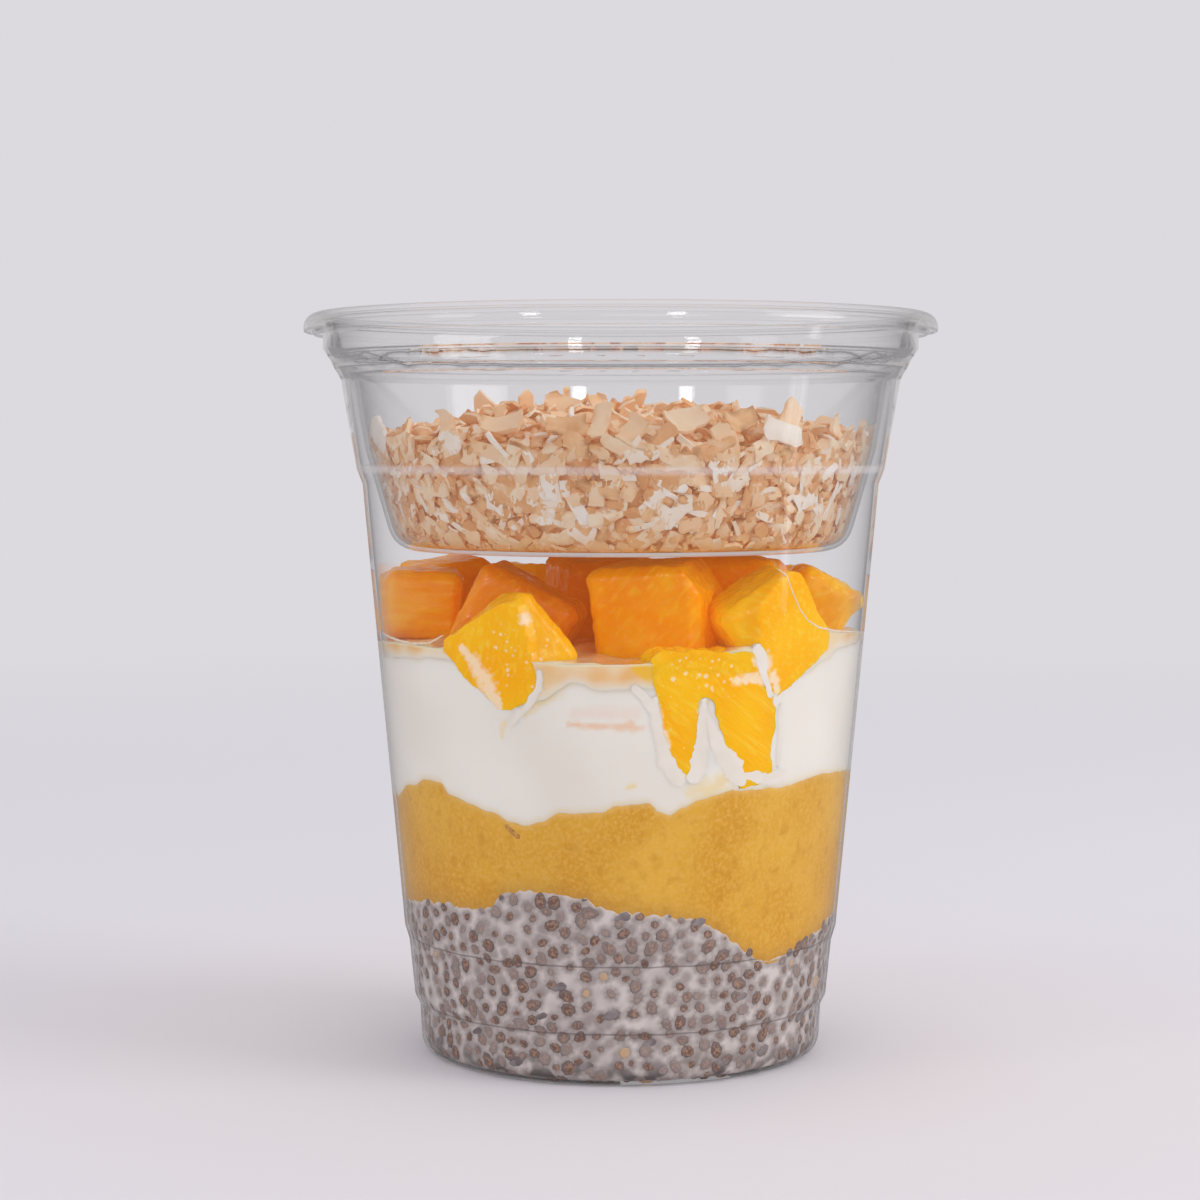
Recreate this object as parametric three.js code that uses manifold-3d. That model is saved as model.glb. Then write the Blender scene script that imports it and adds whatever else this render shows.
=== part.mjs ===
// A mango chia pudding in a clear cup, in millimetres, +Z up.
// The origin is the middle of the base, on the surface that the cup stands on.
// -Y is the front, and angles round the cup run from the front towards +X.
import * as THREE from "three";
import { ConvexGeometry } from "three/addons/geometries/ConvexGeometry.js";
import { mergeVertices } from "three/addons/utils/BufferGeometryUtils.js";
import Module from "manifold-3d";

const wasm = await Module();
wasm.setup();

// ---- Driving dimensions ----

const GAP = 0.3; // clearance between pieces that touch
const ROUND_STEPS = 32; // flats round the cup and the insert

const CUP = {
  wall: 0.6,
  punt: 1.6, // the middle of the base is raised this much
  ring: [25.4, 28.2], // inner and outer radius of the flat ring that it stands on
  corner: 3.0, // radius of the rounded edge under the base
  foot: [31.4, 7.2], // radius and height at the top of the foot, below the lower stacking step
  lowStep: [32.2, 8.8],
  midStep: [33.05, 17.3],
  upperStep: [33.75, 19.6],
  ledge: [40.05, 88.2], // under the ledge that rings the cup at three quarters of its height
  ledgeTop: [40.95, 90.6],
  shoulder: [43.25, 104.1], // where the wall flares out to the mouth
  neck: [46.0, 108.9],
};
const RIM = { radius: 46.7, height: 112.1, curl: 0.7 }; // middle and inner radius of the rolled edge

const INSERT = {
  wall: 0.65,
  floor: 77.9, // height of its underside
  flat: 31.2, // radius of the flat underside
  corner: 4.7,
  knee: [39.65, 93.6], // the wall is a little fuller here than a straight cone
  shoulder: [41.6, 104.1],
  ledge: [42.5, 104.7],
  collar: [45.05, 109.0],
};

// Heights of the layers at the cup's wall: [angle round the cup in degrees, height].
const CHIA_TOP = [
  [-85, 23.6], [-45, 25.7], [-35, 26.2], [-29, 29.0], [-13, 29.2], [3, 26.1], [16, 25.5],
  [25, 23.4], [33, 19.9], [41, 17.7], [53, 19.2], [76, 22.0], [115, 25.6], [160, 22.9], [215, 26.8],
];
const PUREE_TOP = [
  [-77, 40.3], [-52, 44.3], [-44, 42.2], [-24, 38.9], [-14, 40.9], [-4, 41.4], [6, 42.7], [12, 40.8],
  [20, 43.1], [30, 44.0], [60, 44.8], [95, 43.6], [130, 40.4], [170, 43.0], [215, 41.2], [250, 43.8],
];
const YOGURT_TOP = [
  [-85, 61.7], [-44, 62.7], [-24, 56.6], [-11, 60.0], [7, 59.2], [22, 57.5], [40, 60.0], [60, 63.4],
  [90, 64.0], [130, 61.0], [170, 62.8], [215, 60.6], [245, 62.6],
];
const LEVEL_FROM = 29; // from this radius to the wall a layer's height is its height at the wall
const ROUGH_CHIA = { seed: 2.1, dimple: 0.6, steps: 40 }; // a swollen seed, how deep it dents, dents round the cup

// Mango pieces: middle, size before turning, turn about X, Y and Z in degrees,
// how much narrower the underside is than the top, and corners that the knife took off,
// each a direction from the middle and how far out the cut lies.
const MANGO = [
  { at: [-16.0, -28.4, 64.0], size: [14.0, 13.0, 13.5], turn: [-8, 53, 10], narrow: 0.05 },
  { at: [22.0, -23.6, 67.0], size: [13.6, 12.5, 14.8], turn: [6, -32, 12], narrow: 0.0 },
  {
    at: [5.8, -20.2, 69.2], size: [17.6, 15.0, 15.2], turn: [4, -4, -21], narrow: 0.05,
    cuts: [[0.8, -0.25, 0.55, 8.7], [-0.52, -0.2, 0.83, 10.8]],
  },
  { at: [17.4, -29.4, 53.8], size: [11.6, 9.0, 18.4], turn: [0, -9, 30], narrow: 0.5 },
  { at: [8.0, -33.3, 53.0], size: [6.0, 7.0, 13.4], turn: [0, -2, 14], narrow: 0.4 },
  { at: [12.2, -31.0, 61.0], size: [18.0, 9.0, 6.6], turn: [0, 2, 20], narrow: 0.1 },
  { at: [-30.8, -0.6, 69.5], size: [12.2, 12.6, 10.6], turn: [0, 2, 4], narrow: 0.05 },
  { at: [-15.6, -9.6, 66.7], size: [16.4, 14.0, 14.4], turn: [0, 27, -8], narrow: 0.0 },
  { at: [17.6, -7.2, 69.4], size: [13.4, 13.0, 15.4], turn: [0, 5, -14], narrow: 0.05 },
  { at: [30.0, -2.6, 69.6], size: [10.4, 13.0, 9.8], turn: [0, 28, 4], narrow: 0.0 },
  { at: [-3.0, 5.8, 68.6], size: [15.4, 13.6, 15.8], turn: [5, 0, 22], narrow: 0.05 },
  { at: [-28.0, 14.8, 69.6], size: [12.6, 12.4, 12.4], turn: [4, -8, 30], narrow: 0.05 },
  { at: [-13.8, 24.4, 66.6], size: [14.6, 13.0, 13.8], turn: [0, 18, 48], narrow: 0.0 },
  { at: [4.2, 24.6, 68.2], size: [15.8, 13.2, 13.6], turn: [-10, 8, -12], narrow: 0.1 },
  { at: [21.6, 14.8, 67.0], size: [14.2, 15.0, 14.2], turn: [8, -16, 34], narrow: 0.0 },
  { at: [-8.6, 31.2, 55.6], size: [11.6, 8.6, 12.6], turn: [0, -9, 196], narrow: 0.25 },
];
const MANGO_EDGE = 1.3; // how far the edges are worn away

const COCONUT = {
  edge: 96.2, // height of the heap at the insert's wall
  crown: 100.6, // and in the middle
  cover: 0.8, // how far the core lies inside the flakes
  coreSteps: 24,
  sideFlakes: 60,
  sideTilt: 14, // most degrees that a flake leans from the wall
  topFlakes: 36,
  topTilt: 40,
  length: [4.5, 11.0],
  width: [2.0, 4.6],
  thickness: 1.0,
  bends: 8.5, // a flake longer than this is bent
  bend: 0.2, // by up to this share of its length
  taper: [1.1, 0.6], // width of the two ends
  above: 8.0, // no flake stands higher over the crown
};

// ---- Helpers ----

const radians = THREE.MathUtils.degToRad;
const material = (color, roughness, opacity = 1) =>
  new THREE.MeshStandardMaterial({ color, roughness, metalness: 0, opacity, transparent: opacity < 1 });

// A repeatable source of numbers from 0 to 1.
function seeded(seed) {
  let state = seed;
  return () => {
    state = (state * 1664525 + 1013904223) >>> 0;
    return state / 4294967296;
  };
}
const between = (random, [low, high]) => low + (high - low) * random();

// A copy with its shared corners joined.
function merged(geometry) {
  const bare = geometry.clone();
  bare.deleteAttribute("normal");
  bare.deleteAttribute("uv");
  return mergeVertices(bare, 1e-4);
}

function toSolid(geometry) {
  const whole = merged(geometry);
  const corners = whole.index.array;
  const kept = [];
  for (let i = 0; i < corners.length; i += 3) {
    const [a, b, c] = corners.slice(i, i + 3);
    if (a !== b && b !== c && a !== c) kept.push(a, b, c);
  }
  return new wasm.Manifold(
    new wasm.Mesh({
      numProp: 3,
      vertProperties: whole.attributes.position.array,
      triVerts: new Uint32Array(kept),
    }),
  );
}

function toGeometry(solid) {
  const mesh = solid.getMesh();
  const geometry = new THREE.BufferGeometry();
  geometry.setAttribute("position", new THREE.BufferAttribute(mesh.vertProperties, 3));
  geometry.setIndex(new THREE.BufferAttribute(mesh.triVerts, 1));
  geometry.computeVertexNormals();
  return geometry;
}

// The largest body of a solid, without the scraps that cutting leaves.
function largest(solid) {
  const bodies = solid.decompose();
  return bodies.reduce((best, body) => (body.volume() > best.volume() ? body : best));
}

// A line of [radius, height] points moved sideways, to the left of its own direction.
function offset(line, distance) {
  return line.map(([r, z], i) => {
    const [r0, z0] = line[Math.max(i - 1, 0)];
    const [r1, z1] = line[Math.min(i + 1, line.length - 1)];
    const before = new THREE.Vector2(r - r0, z - z0).normalize();
    const after = new THREE.Vector2(r1 - r, z1 - z).normalize();
    const along = before.clone().add(after).normalize();
    const stretch = 1 / Math.max(along.dot(i ? before : after), 0.5);
    return [Math.max(r - along.y * distance * stretch, 0), z + along.x * distance * stretch];
  });
}

function arc([r, z], radius, fromDegrees, toDegrees, steps) {
  return Array.from({ length: steps + 1 }, (_, i) => {
    const angle = radians(fromDegrees + ((toDegrees - fromDegrees) * i) / steps);
    return [r + radius * Math.cos(angle), z + radius * Math.sin(angle)];
  });
}

// A closed outline turned round the Z axis.
function turned(outline, steps = ROUND_STEPS) {
  const points = outline.map(([r, z]) => new THREE.Vector2(r, z));
  return new THREE.LatheGeometry(points, steps).rotateX(Math.PI / 2);
}

// A wall of even thickness inside a line that runs from the axis to a free edge.
function shell(line, thickness) {
  return toSolid(turned([...line, ...offset(line, thickness).reverse()]));
}

// The part of a line that is lower than a level, ending on that level.
function upTo(line, top) {
  const end = line.findIndex(([, z]) => z > top);
  const [r0, z0] = line[end - 1];
  const [r1, z1] = line[end];
  return [...line.slice(0, end), [r0 + ((r1 - r0) * (top - z0)) / (z1 - z0), top]];
}

// What fills the inside of such a line, up to a level.
function filling(line, inset, top, steps) {
  return toSolid(turned([...upTo(offset(line, inset), top), [0, top]], steps));
}

// The radius of such a line at a height.
function radiusAt(line, height) {
  const end = line.findIndex(([, z]) => z > height);
  return upTo(line.slice(0, end + 1), height).at(-1)[0];
}

// A smooth height all the way round, from a few [angle, height] points.
function around(points) {
  return (degrees) => {
    const first = points[0][0];
    const angle = ((((degrees - first) % 360) + 360) % 360) + first;
    const i = points.findLastIndex(([a]) => a <= angle);
    const [a0, z0] = points[i];
    const [a1, z1] = i + 1 < points.length ? points[i + 1] : [first + 360, points[0][1]];
    const share = THREE.MathUtils.smoothstep(angle, a0, a1);
    return z0 + (z1 - z0) * share;
  };
}

// A food layer's surface: its height at the wall, easing to its mean height in the middle.
function surface(points) {
  const atWall = around(points);
  const mean = points.reduce((sum, [, z]) => sum + z, 0) / points.length;
  return (radius, degrees) => {
    const share = Math.min(radius / LEVEL_FROM, 1) ** 2;
    return mean + (atWall(degrees) - mean) * share;
  };
}

// A closed disc between two surfaces, wider than the cup.
function slab(lower, upper, steps = ROUND_STEPS) {
  const rings = [LEVEL_FROM / 2, LEVEL_FROM, RIM.radius];
  const positions = [];
  const faces = [];
  for (const level of [lower, upper]) {
    positions.push(0, 0, level(0, 0));
    for (const radius of rings) {
      for (let i = 0; i < steps; i++) {
        const angle = (i * 360) / steps;
        const turn = radians(angle);
        positions.push(radius * Math.sin(turn), -radius * Math.cos(turn), level(radius, angle));
      }
    }
  }
  const perLevel = 1 + rings.length * steps;
  const index = (level, ring, i) => level * perLevel + 1 + ring * steps + (i % steps);
  for (let i = 0; i < steps; i++) {
    faces.push(0, index(0, 0, i + 1), index(0, 0, i));
    faces.push(perLevel, index(1, 0, i), index(1, 0, i + 1));
    for (let ring = 1; ring < rings.length; ring++) {
      const [a, b] = [index(0, ring - 1, i), index(0, ring - 1, i + 1)];
      const [c, d] = [index(0, ring, i), index(0, ring, i + 1)];
      faces.push(a, b, c, b, d, c);
      const up = perLevel;
      faces.push(a + up, c + up, b + up, b + up, c + up, d + up);
    }
    const [a, b] = [index(0, rings.length - 1, i), index(0, rings.length - 1, i + 1)];
    const [c, d] = [index(1, rings.length - 1, i), index(1, rings.length - 1, i + 1)];
    faces.push(a, b, c, b, d, c);
  }
  const geometry = new THREE.BufferGeometry();
  geometry.setAttribute("position", new THREE.Float32BufferAttribute(positions, 3));
  geometry.setIndex(faces);
  return toSolid(geometry);
}

// ---- The cup and the insert ----

const rimMiddle = [RIM.radius, RIM.height];

const cupLine = [
  [0, CUP.punt],
  [CUP.ring[0] - 2, CUP.punt],
  [CUP.ring[0], 0],
  ...arc([CUP.ring[1], CUP.corner], CUP.corner, -90, -8, 2),
  CUP.foot,
  CUP.lowStep,
  CUP.midStep,
  CUP.upperStep,
  CUP.ledge,
  CUP.ledgeTop,
  CUP.shoulder,
  CUP.neck,
  ...arc(rimMiddle, RIM.curl, 180, -70, 5),
];

const overRim = RIM.curl + CUP.wall + GAP + 0.05; // the insert's flange rests over the cup's rolled edge
const insertCorner = arc([INSERT.flat, INSERT.floor + INSERT.corner], INSERT.corner, -90, -14, 3);
const insertLine = [
  [0, INSERT.floor],
  ...insertCorner,
  INSERT.knee,
  INSERT.shoulder,
  INSERT.ledge,
  INSERT.collar,
  ...arc(rimMiddle, overRim, 180, -18, 6),
];

const cup = shell(cupLine, CUP.wall);
const insert = shell(insertLine, INSERT.wall);

// ---- The layers ----

const chiaTop = surface(CHIA_TOP);
const pureeTop = surface(PUREE_TOP);
const yogurtTop = surface(YOGURT_TOP);
const raised = (level, by) => (radius, degrees) => level(radius, degrees) + by;
const flat = (height) => () => height;
const highest = (points) => Math.max(...points.map(([, z]) => z));

const room = filling(cupLine, CUP.wall + GAP, INSERT.floor - GAP);

// The swollen seeds press knobbly against the wall, so the side is dimpled at the size of a seed.
function knobbly(line, inset, top) {
  const random = seeded(11);
  const inside = upTo(offset(line, inset), top);
  const rows = [];
  inside.slice(0, -1).forEach(([r, z], i) => {
    const [r1, z1] = inside[i + 1];
    const parts = r > CUP.ring[1] ? Math.max(Math.round((z1 - z) / ROUGH_CHIA.seed), 1) : 1;
    for (let k = 0; k < parts; k++) rows.push([r + ((r1 - r) * k) / parts, z + ((z1 - z) * k) / parts]);
  });
  const geometry = merged(turned([...rows, inside.at(-1), [0, top]], ROUGH_CHIA.steps));
  const position = geometry.attributes.position;
  for (let i = 0; i < position.count; i++) {
    const radius = Math.hypot(position.getX(i), position.getY(i));
    if (radius < CUP.ring[1]) continue;
    const shrink = 1 - (random() * ROUGH_CHIA.dimple) / radius;
    position.setX(i, position.getX(i) * shrink);
    position.setY(i, position.getY(i) * shrink);
  }
  return toSolid(geometry);
}

const chiaRoom = knobbly(cupLine, CUP.wall + GAP, highest(CHIA_TOP) + ROUGH_CHIA.seed);
const chia = chiaRoom.intersect(slab(flat(-GAP), chiaTop));
const puree = room.intersect(slab(raised(chiaTop, GAP), pureeTop));

// A piece of mango: a box with its edges cut away, its underside narrower, turned and put in place.
function mangoPiece({ at, size, turn, narrow, cuts = [] }, grow = 0) {
  const half = size.map((side) => side / 2 + grow);
  const points = [];
  for (let corner = 0; corner < 8; corner++) {
    const signs = [1, 2, 4].map((bit) => (corner & bit ? 1 : -1));
    for (const full of [0, 1, 2]) {
      const point = signs.map((sign, i) => sign * (half[i] - (i === full ? 0 : MANGO_EDGE)));
      const share = 1 - narrow * (0.5 - point[2] / (2 * half[2]));
      points.push(new THREE.Vector3(point[0] * share, point[1] * share, point[2]));
    }
  }
  const geometry = new ConvexGeometry(points);
  const turns = new THREE.Euler(...turn.map(radians), "ZYX");
  geometry.applyMatrix4(new THREE.Matrix4().makeRotationFromEuler(turns));
  let solid = toSolid(geometry.translate(...at));
  for (const [x, y, z, distance] of cuts) {
    const out = new THREE.Vector3(x, y, z).normalize();
    const reach = out.dot(new THREE.Vector3(...at)) + distance + grow;
    solid = solid.trimByPlane(out.clone().negate().toArray(), -reach);
  }
  return solid;
}

// Each piece is cut to the room that is left by the wall, the insert, the puree and the pieces before it.
const mangoRoom = room.intersect(slab(raised(pureeTop, GAP), flat(INSERT.floor - GAP)));
const mango = [];
let taken = null;
for (const piece of MANGO) {
  let solid = mangoPiece(piece).intersect(mangoRoom);
  if (taken) solid = largest(solid.subtract(taken));
  mango.push(solid);
  const clear = mangoPiece(piece, GAP);
  taken = taken ? taken.add(clear) : clear;
}
const yogurt = largest(room.intersect(slab(raised(pureeTop, GAP), yogurtTop)).subtract(taken));

// ---- The coconut ----

// A flake is a strip with one end narrower, and bent across its middle if it is long.
function flake(random) {
  const length = between(random, COCONUT.length);
  const width = between(random, COCONUT.width);
  const parts = length > COCONUT.bends ? 2 : 1;
  const geometry = new THREE.BoxGeometry(length, width, COCONUT.thickness, parts, 1, 1);
  const bend = (2 * random() - 1) * COCONUT.bend * length;
  const position = geometry.attributes.position;
  for (let i = 0; i < position.count; i++) {
    const along = position.getX(i) / length;
    position.setZ(i, position.getZ(i) + bend * (0.5 - Math.abs(2 * along)));
    position.setY(i, position.getY(i) * THREE.MathUtils.lerp(...COCONUT.taper, along + 0.5));
  }
  return geometry;
}

// Lays a flake with its broad face along a direction, spun and tilted at random.
function lay(geometry, facing, at, tilt, random) {
  const spin = new THREE.Matrix4().makeRotationZ(random() * 2 * Math.PI);
  const lean = new THREE.Matrix4().makeRotationX((2 * random() - 1) * radians(tilt));
  const face = new THREE.Quaternion().setFromUnitVectors(new THREE.Vector3(0, 0, 1), facing);
  geometry.applyMatrix4(lean.multiply(spin));
  geometry.applyQuaternion(face);
  return toSolid(geometry.translate(at.x, at.y, at.z));
}

const insertInside = (inset, top) => filling(insertLine, INSERT.wall + inset, top);
const insertRadius = (height) => radiusAt(insertLine, height) - INSERT.wall - GAP;

function coconutHeap() {
  const random = seeded(4);
  const mound = (by) => (radius) => {
    const share = Math.min(radius / insertRadius(COCONUT.edge), 1);
    return COCONUT.crown - (COCONUT.crown - COCONUT.edge) * share ** 2 + by;
  };
  const golden = Math.PI * (3 - Math.sqrt(5)); // each flake is this far round from the one before
  const low = INSERT.floor + INSERT.corner / 2;
  const flakes = [];
  for (let i = 0; i < COCONUT.sideFlakes; i++) {
    const angle = i * golden;
    const height = low + ((COCONUT.edge - low) * (i + random())) / COCONUT.sideFlakes;
    const outward = new THREE.Vector3(Math.cos(angle), Math.sin(angle), 0);
    const reach = insertRadius(height) - COCONUT.thickness / 2;
    const at = outward.clone().multiplyScalar(reach).setZ(height);
    flakes.push(lay(flake(random), outward, at, COCONUT.sideTilt, random));
  }
  const widest = insertRadius(COCONUT.edge) - COCONUT.width[0];
  for (let i = 0; i < COCONUT.topFlakes; i++) {
    const angle = i * golden;
    const radius = widest * Math.sqrt((i + 0.5) / COCONUT.topFlakes);
    const up = new THREE.Vector3(0, 0, 1);
    const at = new THREE.Vector3(Math.cos(angle) * radius, Math.sin(angle) * radius, mound(0)(radius));
    flakes.push(lay(flake(random), up, at, COCONUT.topTilt, random));
  }
  const inside = upTo(offset(insertLine, INSERT.wall + GAP), COCONUT.edge - 1);
  const side = inside.map(([r, z]) => [Math.max(r - COCONUT.cover, 0), z]);
  const sunk = mound(-COCONUT.thickness / 2);
  const top = [0.8, 0.4, 0].map((share) => share * side.at(-1)[0]).map((radius) => [radius, sunk(radius)]);
  const core = toSolid(turned([...side, ...top], COCONUT.coreSteps));
  const joined = wasm.Manifold.union([core, ...flakes]);
  return largest(joined.intersect(insertInside(GAP, COCONUT.crown + COCONUT.above)));
}

// ---- The part ----

const part = new THREE.Group();
function add(name, solid, finish) {
  const mesh = new THREE.Mesh(toGeometry(solid), finish);
  mesh.name = name;
  part.add(mesh);
}

const clear = material("#f2f4f5", 0.08, 0.25);
add("cup", cup, clear);
add("insert", insert, clear.clone());
add("coconut", coconutHeap(), material("#e6cfae", 0.75));
add("yogurt", yogurt, material("#efe9e3", 0.5));
add("puree", puree, material("#d79a3a", 0.5));
add("chia", chia, material("#b9aead", 0.55));
mango.forEach((solid, i) => {
  add(`mango_${String(i + 1).padStart(2, "0")}`, solid, material("#f6a21b", 0.35));
});

export default part;
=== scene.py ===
# %% [markdown]
# # A mango chia pudding in a clear cup
# A clear plastic cup holds four layers of food: chia seeds swollen in milk, mango puree, yogurt, and
# pieces of mango. A clear insert hangs in the mouth of the cup and is filled with toasted coconut.
# The plain solids of all these pieces come in as a fixed frame. They could be given materials as they
# are, but food is uneven at the size of a seed, so each solid is replaced here by a finer mesh of the
# same form. The frame loads first, because every later size is held against it.

# %% The frame and the tools
import math
import random

import bmesh
import bpy
import numpy as np
from mathutils import Euler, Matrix, Vector, kdtree, noise


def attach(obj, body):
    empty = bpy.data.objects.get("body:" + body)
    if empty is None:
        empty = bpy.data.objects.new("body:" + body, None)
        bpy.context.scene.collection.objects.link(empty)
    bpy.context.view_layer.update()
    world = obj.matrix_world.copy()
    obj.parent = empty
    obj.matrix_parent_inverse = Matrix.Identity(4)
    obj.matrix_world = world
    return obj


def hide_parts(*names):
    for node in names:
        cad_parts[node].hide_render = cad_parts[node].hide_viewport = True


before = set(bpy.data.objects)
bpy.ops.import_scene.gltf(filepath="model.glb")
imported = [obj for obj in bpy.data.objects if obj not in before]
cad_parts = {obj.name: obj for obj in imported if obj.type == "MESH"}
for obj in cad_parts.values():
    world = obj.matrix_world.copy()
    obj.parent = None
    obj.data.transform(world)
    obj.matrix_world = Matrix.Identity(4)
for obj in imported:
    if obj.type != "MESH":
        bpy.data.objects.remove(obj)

MM = 0.001
TURN = 2 * math.pi
BODY = "root"
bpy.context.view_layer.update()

# %% [markdown]
# ## Making meshes and nodes
# Nearly everything here is round, so angles run round the cup from the front, which is -Y, towards +X.
# Meshes could be edited with Blender's own operators, but points worked out by a rule are easier to
# check. One small helper makes a mesh from points and faces, and one joins a grid of points into faces.
# Every mesh starts out smooth. Only the coconut flakes get sharp edges, further down.

# %% Helpers for meshes
def mesh_object(name, points, faces, finish=None):
    mesh = bpy.data.meshes.new(name)
    mesh.from_pydata([tuple(p) for p in points], [], [tuple(f) for f in faces])
    mesh.validate()
    mesh.shade_smooth()
    if finish:
        mesh.materials.append(finish)
    made = bpy.data.objects.new(name, mesh)
    bpy.context.scene.collection.objects.link(made)
    return made


def grid_faces(rows, columns, start=0, closed=True):
    """Faces between rows of points. A closed row meets its own start."""
    faces = []
    for row in range(rows - 1):
        for column in range(columns if closed else columns - 1):
            a = start + row * columns + column
            b = start + row * columns + (column + 1) % columns
            faces.append((a, b, b + columns, a + columns))
    return faces


def points_of(piece):
    places = np.empty(len(piece.data.vertices) * 3)
    piece.data.vertices.foreach_get("co", places)
    return places.reshape(-1, 3)


def move_points(piece, places):
    piece.data.vertices.foreach_set("co", np.ascontiguousarray(places).ravel())
    piece.data.update()


def normals_of(piece):
    normals = np.empty(len(piece.data.vertices) * 3)
    piece.data.vertex_normals.foreach_get("vector", normals)
    return normals.reshape(-1, 3)


def set_attribute(piece, name, values):
    """One number, or one vector, for each point."""
    values = np.asarray(values, np.float32)
    kind, field = ("FLOAT", "value") if values.ndim == 1 else ("FLOAT_VECTOR", "vector")
    made = piece.data.attributes.new(name, kind, "POINT")
    made.data.foreach_set(field, values.ravel())


def rough(places, size, seed=0.0):
    """Smooth noise from about -1 to 1 at each place, with bumps of about that size."""
    shift = Vector((seed, -seed, 2 * seed))
    return np.array([noise.noise(Vector(p) / size + shift) for p in places])


print("noise at the middle of the base:", rough([(0, 0, 0)], 1 * MM, 0.5))

# %% [markdown]
# Every finish is a tree of nodes. Nodes can be placed and linked one line at a time, but a tree of
# twenty then fills a page. These helpers add a node with its values and links in one line, and name the
# few steps that all the finishes share.

# %% Helpers for node trees
def add_node(tree, kind, inputs=None, **settings):
    """A node whose inputs are named values or links."""
    made = tree.nodes.new(kind)
    for key, value in settings.items():
        setattr(made, key, value)
    for key, value in (inputs or {}).items():
        if isinstance(key, int):
            socket = made.inputs[key]
        else:
            socket = next(s for s in made.inputs if s.name == key and s.enabled)
        if isinstance(value, bpy.types.NodeSocket):
            tree.links.new(value, socket)
        else:
            socket.default_value = value
    return made


def output_of(made, name=None):
    return next(s for s in made.outputs if s.enabled and name in (None, s.name))


def mixed(tree, mask, first, second):
    """A colour between two others, each a link or a plain colour."""
    made = add_node(tree, "ShaderNodeMix", {"Factor": mask, "A": first, "B": second}, data_type="RGBA")
    return output_of(made, "Result")


def attribute(tree, name, output="Fac"):
    return add_node(tree, "ShaderNodeAttribute", attribute_name=name).outputs[output]


def share_of(tree, value, low, high, start=0.0, end=1.0):
    """A value between low and high as a share from start to end."""
    made = add_node(tree, "ShaderNodeMapRange", {
        "Value": value, "From Min": low, "From Max": high, "To Min": start, "To Max": end})
    return made.outputs["Result"]


def math_node(tree, operation, *values):
    return add_node(tree, "ShaderNodeMath", dict(enumerate(values)), operation=operation).outputs[0]


def set_sockets(shader, **values):
    for key, value in values.items():
        shader.inputs[key.replace("_", " ")].default_value = value


def gloss(shader, roughness, specular):
    set_sockets(shader, Roughness=roughness, Specular_IOR_Level=specular)


def soft(shader, weight, radius, scale):
    """How much light soaks into the food, and how far each colour goes."""
    set_sockets(shader, Subsurface_Weight=weight, Subsurface_Scale=scale * MM)
    shader.inputs["Subsurface Radius"].default_value = radius


def new_material(name):
    """A material, its tree, its Principled shader and its output."""
    made = bpy.data.materials.new(name)
    made.use_nodes = True
    tree = made.node_tree
    return made, tree, tree.nodes["Principled BSDF"], tree.nodes["Material Output"]


def height_of(tree, place):
    return add_node(tree, "ShaderNodeSeparateXYZ", {0: place}).outputs["Z"]


print("materials at the start:", len(bpy.data.materials))

# %% [markdown]
# ## The two clear profiles
# The cup and the insert are thermoformed: one thin wall of even thickness, whose section is a line of
# straight stretches with soft corners. The stacking steps near the foot, the ledge at three quarters of
# the height and the flared mouth all show as thin bright rings. Each line could be drawn as a curve and
# spun, but a list of corners with a fillet at each, in millimetres, keeps the real sizes readable, and
# the same line gives the shape of the food that presses against the wall.

# %% The outside line of the cup and the underside line of the insert
CUP_WALL = 0.6 * MM
INSERT_WALL = 0.65 * MM
RIM_MIDDLE = Vector((46.7, 112.1)) * MM
RIM_CURL = 0.7 * MM
FLANGE_CURL = 1.65 * MM
INSERT_FLOOR = 77.9 * MM

CUP_CORNERS = [
    (0, 1.6, 0), (23.4, 1.6, 1.2), (25.4, 0, 1.0), (31.05, 0, 3.0), (31.4, 7.2, 0.6), (32.2, 8.8, 0.6),
    (33.05, 17.3, 0.8), (33.75, 19.6, 0.8), (40.05, 88.2, 0.7), (40.95, 90.6, 0.9), (43.25, 104.1, 0.8),
    (43.95, 105.4, 0.2), (44.25, 105.8, 0.2), (44.95, 107.3, 0.2), (45.25, 107.7, 0.2), (46.0, 108.9, 0.6),
]
INSERT_CORNERS = [
    (0, 77.9, 0), (35.1, 77.9, 4.9), (39.65, 93.6, 4.0), (41.6, 104.1, 0.4), (42.5, 104.7, 0.3),
    (43.25, 106.1, 0.15), (43.45, 106.4, 0.15), (45.05, 109.0, 0.6),
]


def rounded(corners, steps=6):
    """A line through (radius, height, fillet) corners given in millimetres."""
    line = []
    for i, (radius, height, fillet) in enumerate(corners):
        here = Vector((radius, height)) * MM
        if not fillet or i in (0, len(corners) - 1):
            line.append(here)
            continue
        before = Vector(corners[i - 1][:2]) * MM - here
        after = Vector(corners[i + 1][:2]) * MM - here
        bend = math.pi - before.angle(after)
        reach = min(fillet * MM * math.tan(bend / 2), 0.45 * before.length, 0.45 * after.length)
        start, end = here + before.normalized() * reach, here + after.normalized() * reach
        for step in range(steps + 1):
            share = step / steps
            line.append(start.lerp(here, share).lerp(here.lerp(end, share), share))
    return line


def arc(middle, radius, start, end, steps=14):
    angles = [math.radians(start + (end - start) * i / steps) for i in range(steps + 1)]
    return [middle + radius * Vector((math.cos(a), math.sin(a))) for a in angles]


def moved(line, distance):
    """The line moved to the left of its own direction."""
    found = []
    for i, here in enumerate(line):
        along = line[min(i + 1, len(line) - 1)] - line[max(i - 1, 0)]
        left = Vector((-along.y, along.x)).normalized()
        place = here + left * distance
        found.append(Vector((max(place.x, 0), place.y)))
    return found


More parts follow.
